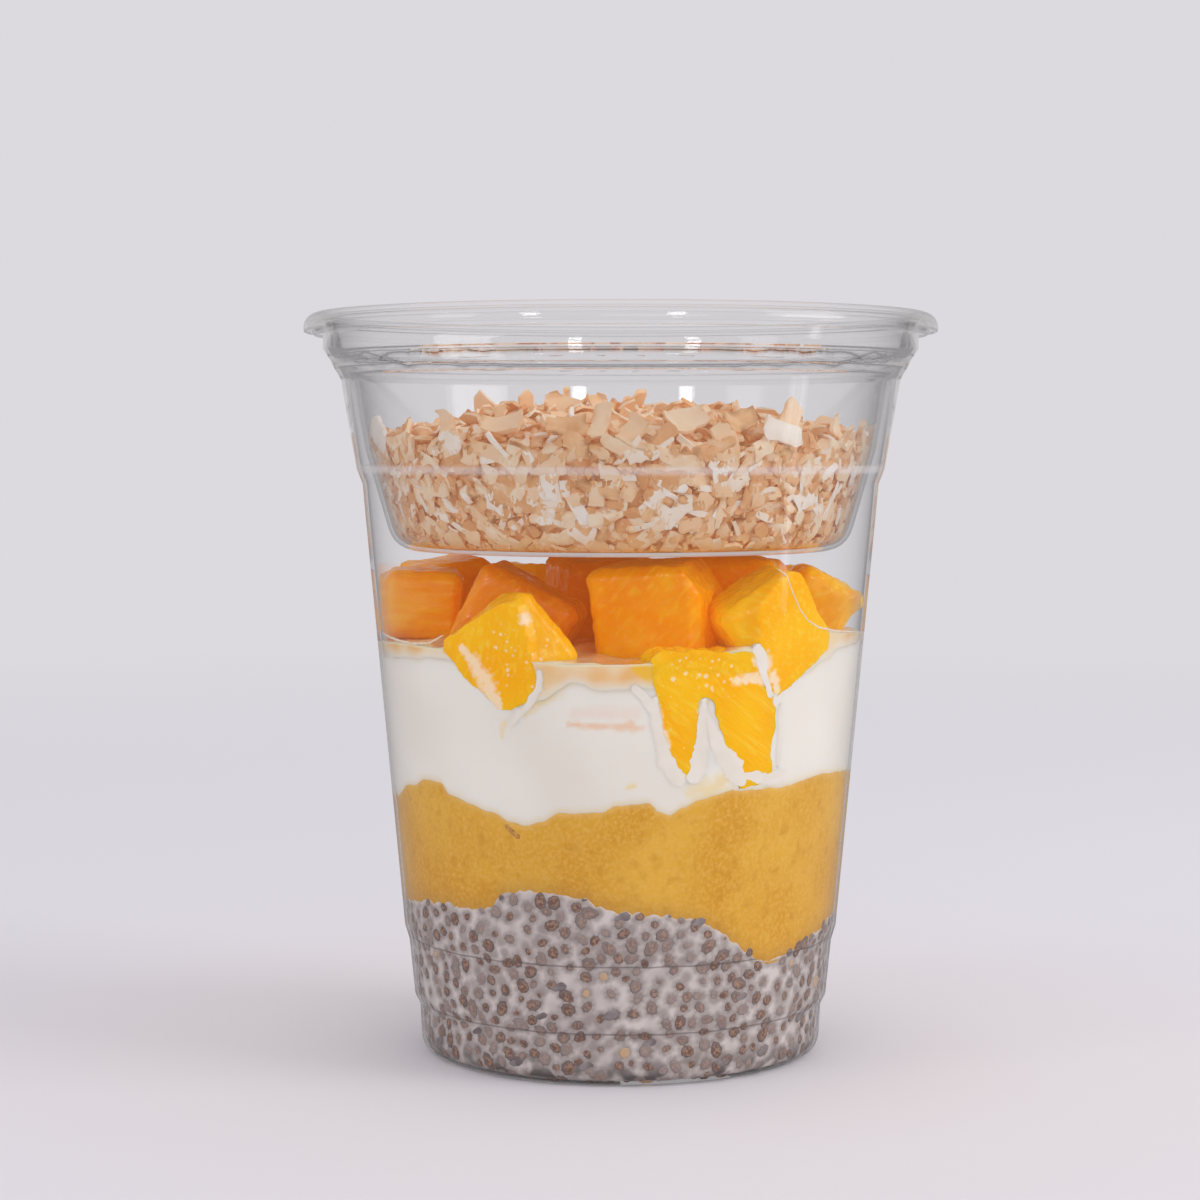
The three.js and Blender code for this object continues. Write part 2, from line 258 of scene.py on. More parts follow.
cup_line = rounded(CUP_CORNERS) + arc(RIM_MIDDLE, RIM_CURL, 180, -70)
insert_line = rounded(INSERT_CORNERS) + arc(RIM_MIDDLE, FLANGE_CURL, 180, -18)
print("cup line:", len(cup_line), "points; insert line:", len(insert_line), "points")

# %% [markdown]
# The food needs to know where the walls are. Each inside line is kept as a table of radius against
# height, and a small function reads it. The part of the line above the shoulder is cut off, so that
# every height has one radius.

# %% Radius of the walls at a height
def radius_table(line, lowest_radius):
    side = [p for p in line if p.x >= lowest_radius]
    heights = np.array([p.y for p in side])
    rising = np.concatenate([[True], np.diff(np.maximum.accumulate(heights)) > 0])
    return heights[rising], np.array([p.x for p in side])[rising]


cup_inside = moved(rounded(CUP_CORNERS), CUP_WALL)
insert_inside = moved(rounded(INSERT_CORNERS), INSERT_WALL)
cup_table = radius_table(cup_inside, 26 * MM)
insert_table = radius_table(insert_inside, 30 * MM)


def cup_radius(height):
    return np.interp(height, *cup_table)


def insert_radius(height):
    return np.interp(height, *insert_table)


print("cup inside at 60 mm:", cup_radius(60 * MM), "insert inside at 90 mm:", insert_radius(90 * MM))

# %% [markdown]
# ## The clear plastic
# Thin clear plastic shows by its edges and its reflections. A glass shader on a wall with two faces does
# this, but it also doubles and smears what stands behind a curved sheet. So glass is used only where the
# wall is seen nearly edge on. Elsewhere the sheet lets light straight through and adds a reflection that
# grows towards the edges. Square on, that reflection is held back, as a photographer does with a
# polarizing filter. Rays that carry light to the food pass straight through too, and a ray that has
# crossed many walls, as happens in the rim, shows the sky, because otherwise it would end in black. The
# sheet is never quite flat, and a faint slow ripple in the normals bends the reflections a little. Along
# the cup's ledge the sheet is a little milky: a painted highlight for the bright band that the ledge shows.
# The insert turns to glass only when it is seen more nearly edge on than the cup does, because its steep
# shoulder would smear the flakes.

# %% Plastic material
SKY = (0.715, 0.70, 0.735, 1)
CLEAR = (0.993, 0.992, 0.991, 1)
MILKY_HIGHLIGHT = (0.85, 0.83, 0.83, 1)
BENDS_LIGHT = 1.44
SQUARE_ON = 0.033  # what a clear sheet reflects when it is seen square on
HELD_BACK = 0.45  # and the share of that which is left
DEEPEST = 8.5  # a ray that has crossed more surfaces than this ends in the sky
LEDGE = 90.5 * MM
LEDGE_BAND = (0.25 * MM, 0.8 * MM)  # the milky band is full this near the ledge and gone this far


def plastic(name, ripple, grazing, ledge):
    """Clear sheet that turns to glass between two amounts of grazing, milky by a share at the ledge as a
    painted highlight.
    """
    made, tree, shader, output = new_material(name)
    made.cycles.emission_sampling = "NONE"
    set_sockets(shader, Roughness=0.02, IOR=BENDS_LIGHT, Transmission_Weight=1.0)
    shader.inputs["Base Color"].default_value = CLEAR
    place = add_node(tree, "ShaderNodeTexCoord")
    waves = add_node(tree, "ShaderNodeTexNoise", {
        "Vector": place.outputs["Object"], "Scale": 60.0, "Detail": 1.0})
    bump = add_node(tree, "ShaderNodeBump", {
        "Height": waves.outputs["Fac"], "Strength": ripple, "Distance": 0.6 * MM}).outputs["Normal"]
    tree.links.new(bump, shader.inputs["Normal"])
    path = add_node(tree, "ShaderNodeLightPath").outputs
    carries = math_node(tree, "MAXIMUM", path["Is Shadow Ray"], path["Is Diffuse Ray"])
    carries = math_node(tree, "MAXIMUM", carries, path["Is Reflection Ray"])
    facing = add_node(tree, "ShaderNodeLayerWeight", {"Blend": 0.5}).outputs["Facing"]
    shine = math_node(tree, "MULTIPLY_ADD", math_node(tree, "POWER", facing, 5.0), 1 - SQUARE_ON, SQUARE_ON)
    shine = math_node(tree, "MULTIPLY", shine, share_of(tree, facing, 0.2, 0.8, HELD_BACK, 1.0))
    through = add_node(tree, "ShaderNodeBsdfTransparent", {"Color": CLEAR}).outputs[0]
    mirror = add_node(tree, "ShaderNodeBsdfGlossy", {
        "Color": (1, 1, 1, 1), "Roughness": 0.03, "Normal": bump}).outputs[0]
    sheet = add_node(tree, "ShaderNodeMixShader", {0: shine, 1: through, 2: mirror}).outputs[0]
    # A milky band at the ledge: a painted highlight for the bright band there.
    height = height_of(tree, place.outputs["Object"])
    away = math_node(tree, "ABSOLUTE", math_node(tree, "SUBTRACT", height, LEDGE))
    pale = math_node(tree, "MULTIPLY", share_of(tree, away, *LEDGE_BAND, 1.0, 0.0), ledge)
    milky = add_node(tree, "ShaderNodeBsdfDiffuse", {"Color": MILKY_HIGHLIGHT}).outputs[0]
    sheet = add_node(tree, "ShaderNodeMixShader", {0: pale, 1: sheet, 2: milky}).outputs[0]
    edge_on = share_of(tree, facing, *grazing)
    seen = add_node(tree, "ShaderNodeMixShader", {0: edge_on, 1: sheet, 2: shader.outputs[0]}).outputs[0]
    crossed = math_node(tree, "ADD", path["Ray Depth"], path["Transparent Depth"])
    last = add_node(tree, "ShaderNodeEmission", {"Color": SKY}).outputs[0]
    ends = add_node(tree, "ShaderNodeMixShader", {
        0: math_node(tree, "GREATER_THAN", crossed, DEEPEST), 1: seen, 2: last}).outputs[0]
    mix = add_node(tree, "ShaderNodeMixShader", {0: carries, 1: ends, 2: through})
    tree.links.new(mix.outputs[0], output.inputs["Surface"])
    return made


cup_plastic = plastic("cup_plastic", 0.03, (0.82, 0.93), 0.2)
insert_plastic = plastic("insert_plastic", 0.02, (0.93, 0.985), 0.0)
print("nodes in the plastic:", len(cup_plastic.node_tree.nodes))

# %% [markdown]
# The line and its copy, moved in by the wall, are turned round the axis. A point on the axis is one
# point, so no seam or hole is left at the middle of the base.

# %% Turning a line into a wall
ROUND_STEPS = 192


def revolve(name, outline, finish, steps=ROUND_STEPS):
    """A closed outline, from the axis and back to it, turned round Z."""
    points, rows = [], []
    for place in outline:
        rows.append(len(points))
        if place.x < 1e-7:
            points.append((0, 0, place.y))
            continue
        for i in range(steps):
            angle = i * TURN / steps
            points.append((place.x * math.sin(angle), -place.x * math.cos(angle), place.y))
    faces = []
    for a, b in zip(rows, rows[1:]):
        for i in range(steps):
            j = (i + 1) % steps
            if b - a == 1:
                faces.append((a, b + j, b + i))
            elif b == rows[-1] and len(points) - b == 1:
                faces.append((a + i, a + j, b))
            else:
                faces.append((a + i, a + j, b + j, b + i))
    return mesh_object(name, points, faces, finish)


def walled(name, line, wall, finish):
    return revolve(name, line + moved(line, wall)[::-1], finish)


def settle(piece, slot, *nodes):
    """Gives a finished piece to the body, and hides the solids that it stands for."""
    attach(piece, BODY)
    if nodes:
        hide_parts(*nodes)
    print(piece.name + ":", len(piece.data.vertices), "points")


cup = walled("clear_cup", cup_line, CUP_WALL, cup_plastic)
settle(cup, "cup", "cup")
insert = walled("clear_insert", insert_line, INSERT_WALL, insert_plastic)
settle(insert, "insert", "insert")

# %% [markdown]
# ## The layers
# Seen through the wall, each layer is a band whose upper edge waves up and down. Its height is given at
# a few angles round the wall and eased between them. Towards the middle of the cup, where nothing
# shows, it settles to its mean height.

# %% Heights of the layers at the wall
CHIA_TOP = [
    (-85, 23.6), (-58, 25.4), (-47, 25.7), (-35, 26.0), (-31, 28.3), (-25, 29.3), (-15, 29.2), (-10, 28.7),
    (-5, 27.3), (0, 26.5), (15, 25.7), (20, 24.9), (27, 23.0), (30, 21.3), (34, 19.9), (37, 18.4),
    (43, 17.8), (51, 18.6), (55, 19.5), (63, 20.4), (75, 21.9), (115, 25.6), (160, 22.9), (215, 26.8),
]
PUREE_TOP = [
    (-77, 40.3), (-64, 42.8), (-53, 44.3), (-49, 44.1), (-46, 42.5), (-39, 41.6), (-33, 40.6), (-27, 39.3),
    (-23, 39.0), (-19, 39.6), (-14, 40.9), (-5, 41.2), (0, 42.2), (7, 42.6), (9, 41.3), (12, 40.8),
    (15, 41.8), (19, 42.9), (28, 44.0), (40, 43.8), (57, 44.8), (95, 43.6), (130, 40.4), (170, 43.0),
    (215, 41.2), (250, 43.8),
]
YOGURT_TOP = [
    (-85, 61.7), (-64, 62.2), (-44, 62.7), (-23, 56.6), (-18, 57.5), (-11, 60.2), (-5, 59.0), (3, 59.4),
    (7, 59.1), (22, 57.5), (39, 59.9), (46, 60.2), (55, 62.2), (62, 63.8), (90, 64.0), (130, 61.0),
    (170, 62.8), (215, 60.6), (245, 62.6),
]
LEVEL_FROM = 29 * MM


def around(knots):
    """The height at an angle in degrees, eased between (angle, height) knots in millimetres."""
    angles = np.array([a for a, _ in knots] + [knots[0][0] + 360])
    heights = np.array([z for _, z in knots] + [knots[0][1]]) * MM

    def height(degrees):
        turned = (np.asarray(degrees, float) - angles[0]) % 360 + angles[0]
        i = np.clip(np.searchsorted(angles, turned, side="right") - 1, 0, len(knots) - 1)
        share = (turned - angles[i]) / (angles[i + 1] - angles[i])
        share = share * share * (3 - 2 * share)
        return heights[i] + (heights[i + 1] - heights[i]) * share
    return height


chia_top, puree_top, yogurt_top = around(CHIA_TOP), around(PUREE_TOP), around(YOGURT_TOP)
print("chia, puree and yogurt at the front:", chia_top(0), puree_top(0), yogurt_top(0))

# %% [markdown]
# A layer is one closed mesh. Its side is a grid between a lower and an upper edge that follows the wall
# and reaches just into the plastic, as wet food does, so that no film of air shows. Its top and bottom
# are rings that shrink to a point. The lower edge dips a little behind the layer below, which reaches a
# touch further out, so the line between two layers is always the upper edge of the lower one.

# %% A layer that fills the cup
DISC_SHARES = (0.97, 0.9, 0.78, 0.6, 0.4, 0.2)  # radii of the rings over and under a layer
LUMPS_AT = 34 * MM  # the radius at which the bumps of an edge are counted out


def ring_angles(steps):
    return np.arange(steps) * 360.0 / steps


def on_ring(radius, degrees, height):
    turn = np.radians(degrees)
    return np.column_stack([radius * np.sin(turn), -radius * np.cos(turn), height])


def disc_rows(edge_radius, edge_height, degrees):
    """Rings from near the edge to near the middle, easing to the mean height."""
    mean = edge_height.mean()
    rows = []
    for share in DISC_SHARES:
        radius = edge_radius * share
        ease = np.minimum(radius / LEVEL_FROM, 1) ** 2
        rows.append(on_ring(radius, degrees, mean + (edge_height - mean) * ease))
    return rows


def layer(name, low, high, reach, steps, rows, finish):
    """A closed piece between two edge heights, given for each angle."""
    degrees = ring_angles(steps)
    edges = []
    for row in range(rows + 1):
        height = low + (high - low) * row / rows
        edges.append(on_ring(cup_radius(height) + reach, degrees, height))
    under = disc_rows(cup_radius(low) + reach, low, degrees)[::-1]
    over = disc_rows(cup_radius(high) + reach, high, degrees)
    grid = under + edges + over
    points = np.vstack(grid + [[[0, 0, low.mean()], [0, 0, high.mean()]]])
    faces = grid_faces(len(grid), steps)
    bottom, top = len(points) - 2, len(points) - 1
    last = (len(grid) - 1) * steps
    for i in range(steps):
        j = (i + 1) % steps
        faces.append((bottom, j, i))
        faces.append((top, last + i, last + j))
    return mesh_object(name, points, faces, finish)


def edge_share(piece, edge_heights, degrees, below, blur):
    """For each point of a piece, 1 at an edge between layers and 0 beyond the blur."""
    spots = points_of(piece)
    turn = np.degrees(np.arctan2(spots[:, 0], -spots[:, 1]))
    edge = np.interp(turn % 360, np.append(degrees, 360), np.append(edge_heights, edge_heights[0]))
    away = (edge - spots[:, 2]) * (1 if below else -1)
    return np.clip(1 - away / blur, 0, 1)


def lumps(degrees, across, height, seed):
    """An uneven edge: bumps of a given width round the wall."""
    places = on_ring(LUMPS_AT, degrees, 0 * degrees)
    return height * rough(places, across, seed)


print("rings over and under each layer:", len(DISC_SHARES))

# %% [markdown]
# ## Shared finishes
# Food is blotchy at several sizes at once, and painting each piece by hand would take long. Four small
# node groups serve all the food: soft blotches, coarse and fine bumps for a Bump node, the two shadow
# rings of the stacking steps, and ragged edges for a painted mark. They read the piece's own coordinates
# or its attributes, so a pattern stays where it is when the piece is seen from another side. The shader
# itself stays in each material.

# %% Node groups for the food
RAGGED = 1.2  # how far noise moves the edge of a painted mark
MARK_EDGE = 0.5 + RAGGED / 2  # and where that edge then lies


def new_group(name, inputs, output):
    """A group's tree, its entry, its exit and the place on the piece."""
    tree = bpy.data.node_groups.new(name, "ShaderNodeTree")
    for label, value in inputs.items():
        socket = tree.interface.new_socket(label, in_out="INPUT", socket_type="NodeSocketFloat")
        socket.default_value = value
    tree.interface.new_socket(output, in_out="OUTPUT", socket_type="NodeSocketFloat")
    entry = tree.nodes.new("NodeGroupInput")
    leave = tree.nodes.new("NodeGroupOutput")
    place = tree.nodes.new("ShaderNodeTexCoord")
    return tree, entry, leave, place.outputs["Object"]


def blotch_group():
    tree, entry, leave, place = new_group(
        "blotches", {"Scale": 200.0, "Detail": 3.0, "Low": 0.35, "High": 0.65}, "Mask")
    cloud = add_node(tree, "ShaderNodeTexNoise", {
        "Vector": place, "Scale": entry.outputs["Scale"], "Detail": entry.outputs["Detail"]})
    spread = share_of(tree, cloud.outputs["Fac"], entry.outputs["Low"], entry.outputs["High"])
    tree.links.new(spread, leave.inputs["Mask"])
    return tree


def bump_group():
    tree, entry, leave, place = new_group(
        "bumps", {"Coarse": 300.0, "Fine": 2000.0, "Fine share": 0.4}, "Height")
    coarse = add_node(tree, "ShaderNodeTexNoise", {
        "Vector": place, "Scale": entry.outputs["Coarse"], "Detail": 1.0})
    fine = add_node(tree, "ShaderNodeTexNoise", {
        "Vector": place, "Scale": entry.outputs["Fine"], "Detail": 1.0})
    both = math_node(tree, "MULTIPLY_ADD", fine.outputs["Fac"], entry.outputs["Fine share"],
                     coarse.outputs["Fac"])
    tree.links.new(both, leave.inputs["Height"])
    return tree


def ring_group():
    """A thin line of painted shadow round the cup at two heights, where the wall steps out."""
    tree, entry, leave, place = new_group(
        "rings", {"First": 18.45 * MM, "Second": 8.2 * MM, "Half width": 0.22 * MM}, "Mask")
    height = height_of(tree, place)
    waver = add_node(tree, "ShaderNodeTexNoise", {"Vector": place, "Scale": 260.0, "Detail": 1.0})
    height = math_node(tree, "MULTIPLY_ADD", waver.outputs["Fac"], 0.45 * MM, height)
    masks = []
    for label in ("First", "Second"):
        away = math_node(tree, "ABSOLUTE", math_node(tree, "SUBTRACT", height, entry.outputs[label]))
        masks.append(math_node(tree, "DIVIDE", away, entry.outputs["Half width"]))
    nearest = math_node(tree, "SUBTRACT", 1.0, math_node(tree, "MINIMUM", *masks))
    nearest.node.use_clamp = True
    tree.links.new(nearest, leave.inputs["Mask"])
    return tree


def stain_group():
    """A painted mark, given as an amount that is a half at its edge, with that edge made ragged."""
    tree, entry, leave, place = new_group(
        "stains", {"Amount": 0.0, "Scale": 900.0, "Softness": 0.1}, "Mask")
    cloud = add_node(tree, "ShaderNodeTexNoise", {
        "Vector": place, "Scale": entry.outputs["Scale"], "Detail": 2.0})
    ragged = math_node(tree, "MULTIPLY_ADD", cloud.outputs["Fac"], RAGGED, entry.outputs["Amount"])
    low = math_node(tree, "SUBTRACT", MARK_EDGE, entry.outputs["Softness"])
    high = math_node(tree, "ADD", MARK_EDGE, entry.outputs["Softness"])
    painted_on = share_of(tree, entry.outputs["Amount"], 0.0, 0.2)
    mask = math_node(tree, "MULTIPLY", share_of(tree, ragged, low, high), painted_on)
    tree.links.new(mask, leave.inputs["Mask"])
    return tree


blotches, bumps, rings, stains = blotch_group(), bump_group(), ring_group(), stain_group()


def blotch_mask(tree, **values):
    made = add_node(tree, "ShaderNodeGroup", node_tree=blotches)
    set_sockets(made, **values)
    return made.outputs["Mask"]


def stain_mask(tree, name, scale=900.0, softness=0.1):
    made = add_node(tree, "ShaderNodeGroup", node_tree=stains)
    tree.links.new(attribute(tree, name), made.inputs["Amount"])
    set_sockets(made, Scale=scale, Softness=softness)
    return made.outputs["Mask"]


def step_shadow_mask(tree, strength):
    made = add_node(tree, "ShaderNodeGroup", node_tree=rings)
    return math_node(tree, "MULTIPLY", made.outputs["Mask"], strength)


def bumpy(tree, shader, strength, depth, **values):
    made = add_node(tree, "ShaderNodeGroup", node_tree=bumps)
    set_sockets(made, **values)
    bump = add_node(tree, "ShaderNodeBump", {
        "Height": made.outputs["Height"], "Strength": strength, "Distance": depth * MM})
    tree.links.new(bump.outputs["Normal"], shader.inputs["Normal"])


def plain_food(name, colour, other, roughness, scale=300.0):
    """A simple blotchy finish for small things."""
    made, tree, shader, _ = new_material(name)
    tree.links.new(mixed(tree, blotch_mask(tree, Scale=scale, Detail=1.0), colour, other),
                   shader.inputs["Base Color"])
    gloss(shader, roughness, 0.4)
    return made


print("node groups:", [group.name for group in bpy.data.node_groups])

# %% [markdown]
# Food that is pressed on the wall is as smooth as the wall, right up to its edge. A mesh would round its
# shading off there, and a thin dark line would show. So the points that lie in the plastic are given the
# wall's own normals. Stains and smears are painted on the mesh, as one number for each point, along
# paths that are given as angles and heights, because a path is easier to place than a picture.

# %% Normals and marks on the wall
MARK_DEPTH = 8 * MM  # marks go this far in from the wall
WALL_LEAN = -0.09  # the wall's slope, as the height of its outward normal


def face_the_wall(piece, margin=0.01 * MM):
    """Gives the points at least this far past the wall's inside the normals of the wall."""
    spots, outward = points_of(piece), normals_of(piece)
    span = np.hypot(spots[:, 0], spots[:, 1])
    near = span > cup_radius(spots[:, 2]) + margin
    sideways = spots[near, :2] / span[near][:, None]
    outward[near] = np.column_stack([sideways, np.full(near.sum(), WALL_LEAN)])
    piece.data.normals_split_custom_set_from_vertices([tuple(n) for n in outward])


def painted(piece, name, paths):
    """Marks along (degrees, height, half width) paths in mm: 1 in the middle, a half at the edge."""
    spots = points_of(piece)
    radius = cup_radius(spots[:, 2])
    flat = np.column_stack([np.arctan2(spots[:, 0], -spots[:, 1]) * radius, spots[:, 2]])
    best = np.zeros(len(spots))
    for path in paths:
        for (a, low, wide), (b, high, wider) in zip(path, path[1:] or path):
            first = np.column_stack([math.radians(a) * radius, np.full(len(spots), low * MM)])
            rise = np.full(len(spots), (high - low) * MM)
            step = np.column_stack([math.radians(b - a) * radius, rise])
            away = flat - first
            along = np.clip((away * step).sum(1) / np.maximum((step ** 2).sum(1), 1e-12), 0, 1)
            far = np.hypot(*(away - step * along[:, None]).T)
            best = np.maximum(best, 1 - far / (2 * MM * (wide + (wider - wide) * along)))
    best[np.hypot(spots[:, 0], spots[:, 1]) < radius - MARK_DEPTH] = 0
    set_attribute(piece, name, best)


print("marks reach in from the wall by", MARK_DEPTH)

# %% [markdown]
# ## Scattering small things
# Seeds and flakes are the same few shapes repeated hundreds of times over a surface. They could be
# placed one by one in a loop, but a Geometry Nodes tree spreads them evenly with a least distance, turns
# each one to the surface, tilts, spins and sizes it at random, and stores a random shade on it. The
# shapes are made real at the end, so the result is a plain mesh.

# %% The scatter tree
SCATTER_INPUTS = [
    ("Kinds", "Collection"), ("Distance", "Float"), ("Density", "Float"), ("Smallest", "Float"),
    ("Largest", "Float"), ("Tilt", "Float"), ("Lowest", "Float"), ("Highest", "Float"),
    ("Seed", "Int"), ("Finish", "Material"),
]


def scatter_tree():
    tree = bpy.data.node_groups.new("scatter", "GeometryNodeTree")
    tree.interface.new_socket("Geometry", in_out="INPUT", socket_type="NodeSocketGeometry")
    for label, kind in SCATTER_INPUTS:
        tree.interface.new_socket(label, in_out="INPUT", socket_type="NodeSocket" + kind)
    tree.interface.new_socket("Geometry", in_out="OUTPUT", socket_type="NodeSocketGeometry")
    entry, leave = tree.nodes.new("NodeGroupInput"), tree.nodes.new("NodeGroupOutput")
    given = entry.outputs

    def chance(kind, low, high, shift):
        seed = add_node(tree, "ShaderNodeMath", {0: given["Seed"], 1: float(shift)})
        made = add_node(tree, "FunctionNodeRandomValue", {
            "Min": low, "Max": high, "Seed": seed.outputs[0]}, data_type=kind)
        return output_of(made)

    spread = add_node(tree, "GeometryNodeDistributePointsOnFaces", {
        "Mesh": given["Geometry"], "Distance Min": given["Distance"], "Density Max": given["Density"],
        "Seed": given["Seed"]}, distribute_method="POISSON")
    rise = add_node(tree, "ShaderNodeVectorMath", {
        "Vector": spread.outputs["Normal"],
        "Scale": chance("FLOAT", given["Lowest"], given["Highest"], 1)}, operation="SCALE")
    lifted = add_node(tree, "GeometryNodeSetPosition", {
        "Geometry": spread.outputs["Points"], "Offset": rise.outputs[0]})
    back = add_node(tree, "ShaderNodeMath", {0: given["Tilt"], 1: -1.0}, operation="MULTIPLY")
    low = add_node(tree, "ShaderNodeCombineXYZ", {"X": back.outputs[0], "Y": back.outputs[0], "Z": 0.0})
    high = add_node(tree, "ShaderNodeCombineXYZ", {"X": given["Tilt"], "Y": given["Tilt"], "Z": TURN})
    lean = add_node(tree, "FunctionNodeEulerToRotation", {
        "Euler": chance("FLOAT_VECTOR", low.outputs[0], high.outputs[0], 2)})
    turn = add_node(tree, "FunctionNodeRotateRotation", {
        "Rotation": spread.outputs["Rotation"], "Rotate By": lean.outputs[0]}, rotation_space="LOCAL")
    kinds = add_node(tree, "GeometryNodeCollectionInfo", {
        "Collection": given["Kinds"], "Separate Children": True, "Reset Children": True})
    laid = add_node(tree, "GeometryNodeInstanceOnPoints", {
        "Points": lifted.outputs[0], "Instance": kinds.outputs[0], "Pick Instance": True,
        "Rotation": turn.outputs[0], "Scale": chance("FLOAT", given["Smallest"], given["Largest"], 3)})
    shade = add_node(tree, "GeometryNodeStoreNamedAttribute", {
        "Geometry": laid.outputs[0], "Name": "shade", "Value": chance("FLOAT", 0.0, 1.0, 4)},
        data_type="FLOAT", domain="INSTANCE")
    real = add_node(tree, "GeometryNodeRealizeInstances", {"Geometry": shade.outputs[0]})
    dressed = add_node(tree, "GeometryNodeSetMaterial", {
        "Geometry": real.outputs[0], "Material": given["Finish"]})
    tree.links.new(dressed.outputs[0], leave.inputs[0])
    return tree


scatter = scatter_tree()


def kinds_of(name, shapes):
    """Loose shapes as a collection that isn't in the scene."""
    made = bpy.data.collections.new(name)
    for shape in shapes:
        bpy.context.scene.collection.objects.unlink(shape)
        made.objects.link(shape)
    return made


def plain_copy(carrier, name):
    """What a carrier's modifiers make, as a mesh of its own."""
    ready = carrier.evaluated_get(bpy.context.evaluated_depsgraph_get())
    mesh = bpy.data.meshes.new_from_object(ready)
    mesh.name = name
    made = bpy.data.objects.new(name, mesh)
    bpy.context.scene.collection.objects.link(made)
    return made


def scattered(name, carrier, **sizes):
    step = carrier.modifiers.new("scatter", "NODES")
    step.node_group = scatter
    for item in scatter.interface.items_tree:
        if item.item_type == "SOCKET" and item.in_out == "INPUT" and item.name in sizes:
            step[item.identifier] = sizes[item.name]
    made = plain_copy(carrier, name)
    carrier.modifiers.remove(step)
    made.data.shade_smooth()
    return made


def drop(piece):
    bpy.data.objects.remove(piece)


print("scatter tree:", len(scatter.nodes), "nodes and", len(SCATTER_INPUTS) + 1, "inputs")

# %% [markdown]
# ## Chia seeds in milk
# The lowest layer is pale lilac grey: milk that chia has thickened. Each seed is a small dark oval in a
# ring of clear jelly, pressed flat against the wall. Real jelly would need glass inside milk, which is
# slow and noisy. The dark inside shows through the jelly, so the milk is simply painted darker near each
# seed, by its distance from the nearest one. Seeds that lie deeper show as soft grey spots.

# %% Chia materials
SEED_SIZE = 2.45 * MM
SEED_SPACING = 2.6 * MM
MILK, PALE_MILK = (0.56, 0.50, 0.475, 1), (0.70, 0.635, 0.60, 1)
JELLY, PALE_JELLY = (0.31, 0.26, 0.24, 1), (0.42, 0.365, 0.345, 1)
DEEP_SEED = (0.36, 0.30, 0.28, 1)
MILK_EDGE = (0.74, 0.62, 0.52, 1)
# painted shade, for hollows by the base and the steps of the wall
HOLLOW_SHADE = (0.13, 0.11, 0.105, 1)
HUSK, SPECK = (0.19, 0.095, 0.065, 1), (0.42, 0.25, 0.17, 1)
SEED_SIDE = (0.19, 0.15, 0.14, 1)
CLOUDED = (0.40, 0.34, 0.32, 1)
AMBER = (0.60, 0.40, 0.24, 1)
STEP_SHADOW = (0.12, 0.10, 0.095, 1)


def chia_milk_material():
    made, tree, shader, _ = new_material("chia_milk")
    place = add_node(tree, "ShaderNodeTexCoord").outputs["Object"]
    sunk = add_node(tree, "ShaderNodeTexVoronoi", {"Vector": place, "Scale": 1 / SEED_SPACING})
    milk = mixed(tree, blotch_mask(tree, Scale=300.0, Detail=1.0), MILK, PALE_MILK)
    milk = mixed(tree, share_of(tree, sunk.outputs["Distance"], 0.2, 0.45, 0.85, 0.0), milk, DEEP_SEED)
    jelly = mixed(tree, blotch_mask(tree, Scale=900.0, Detail=1.0), JELLY, PALE_JELLY)
    colour = mixed(tree, attribute(tree, "near_seed"), milk, jelly)
    colour = mixed(tree, attribute(tree, "near_edge"), colour, MILK_EDGE)
    # Painted shade: blotches darker low down by the base, where hollows by the wall fall in shadow.
    height = height_of(tree, place)
    hollow = math_node(tree, "MULTIPLY", share_of(tree, height, 1.5 * MM, 5.0 * MM, 1.0, 0.0),
                       blotch_mask(tree, Scale=260.0, Detail=1.0, Low=0.45, High=0.55))
    colour = mixed(tree, hollow, colour, HOLLOW_SHADE)
    # Painted shadow along the two stacking steps, in the same dark.
    colour = mixed(tree, step_shadow_mask(tree, 0.75), colour, HOLLOW_SHADE)
    tree.links.new(colour, shader.inputs["Base Color"])
    gloss(shader, 0.4, 0.2)
    bumpy(tree, shader, 0.2, 0.12, Coarse=500.0, Fine=2500.0)
    return made


def chia_seed_material():
    made, tree, shader, _ = new_material("chia_seed")
    speck = blotch_mask(tree, Scale=2300.0, Detail=1.0, Low=0.42, High=0.6)
    husk = mixed(tree, speck, HUSK, SPECK)
    edge = mixed(tree, attribute(tree, "middle"), SEED_SIDE, husk)
    shade = attribute(tree, "shade")
    body = mixed(tree, share_of(tree, shade, 0.3, 0.95, 0.0, 0.6), edge, CLOUDED)
    amber = mixed(tree, math_node(tree, "GREATER_THAN", shade, 0.985), body, AMBER)
    colour = mixed(tree, step_shadow_mask(tree, 0.75), amber, STEP_SHADOW)
    tree.links.new(colour, shader.inputs["Base Color"])
    gloss(shader, 0.35, 0.25)
    bumpy(tree, shader, 0.25, 0.07, Coarse=1500.0, Fine=4000.0)
    return made


chia_milk, chia_seed = chia_milk_material(), chia_seed_material()
print("finishes:", chia_milk.name, "and", chia_seed.name)

# %% [markdown]
# The layer itself could be cut out of the cup's inside with a Boolean, but the rule for all layers
# already follows the wall. Its lowest ring starts on the flat ring of the base, and the middle of the
# underside is raised afterwards, like the base itself.

# %% The chia layer
CHIA_REACH = 0.07 * MM  # how far the layer goes into the plastic
BASE_INSIDE = 2.2 * MM  # height of the raised base inside the cup
RING_INSIDE = 0.62 * MM  # and of the ring round it
PUNT_EDGE, PUNT_SLOPE = 25.6 * MM, 2.2 * MM  # where the base starts to rise, and how far in it is up
CHIA_STEPS, CHIA_ROWS = 600, 80

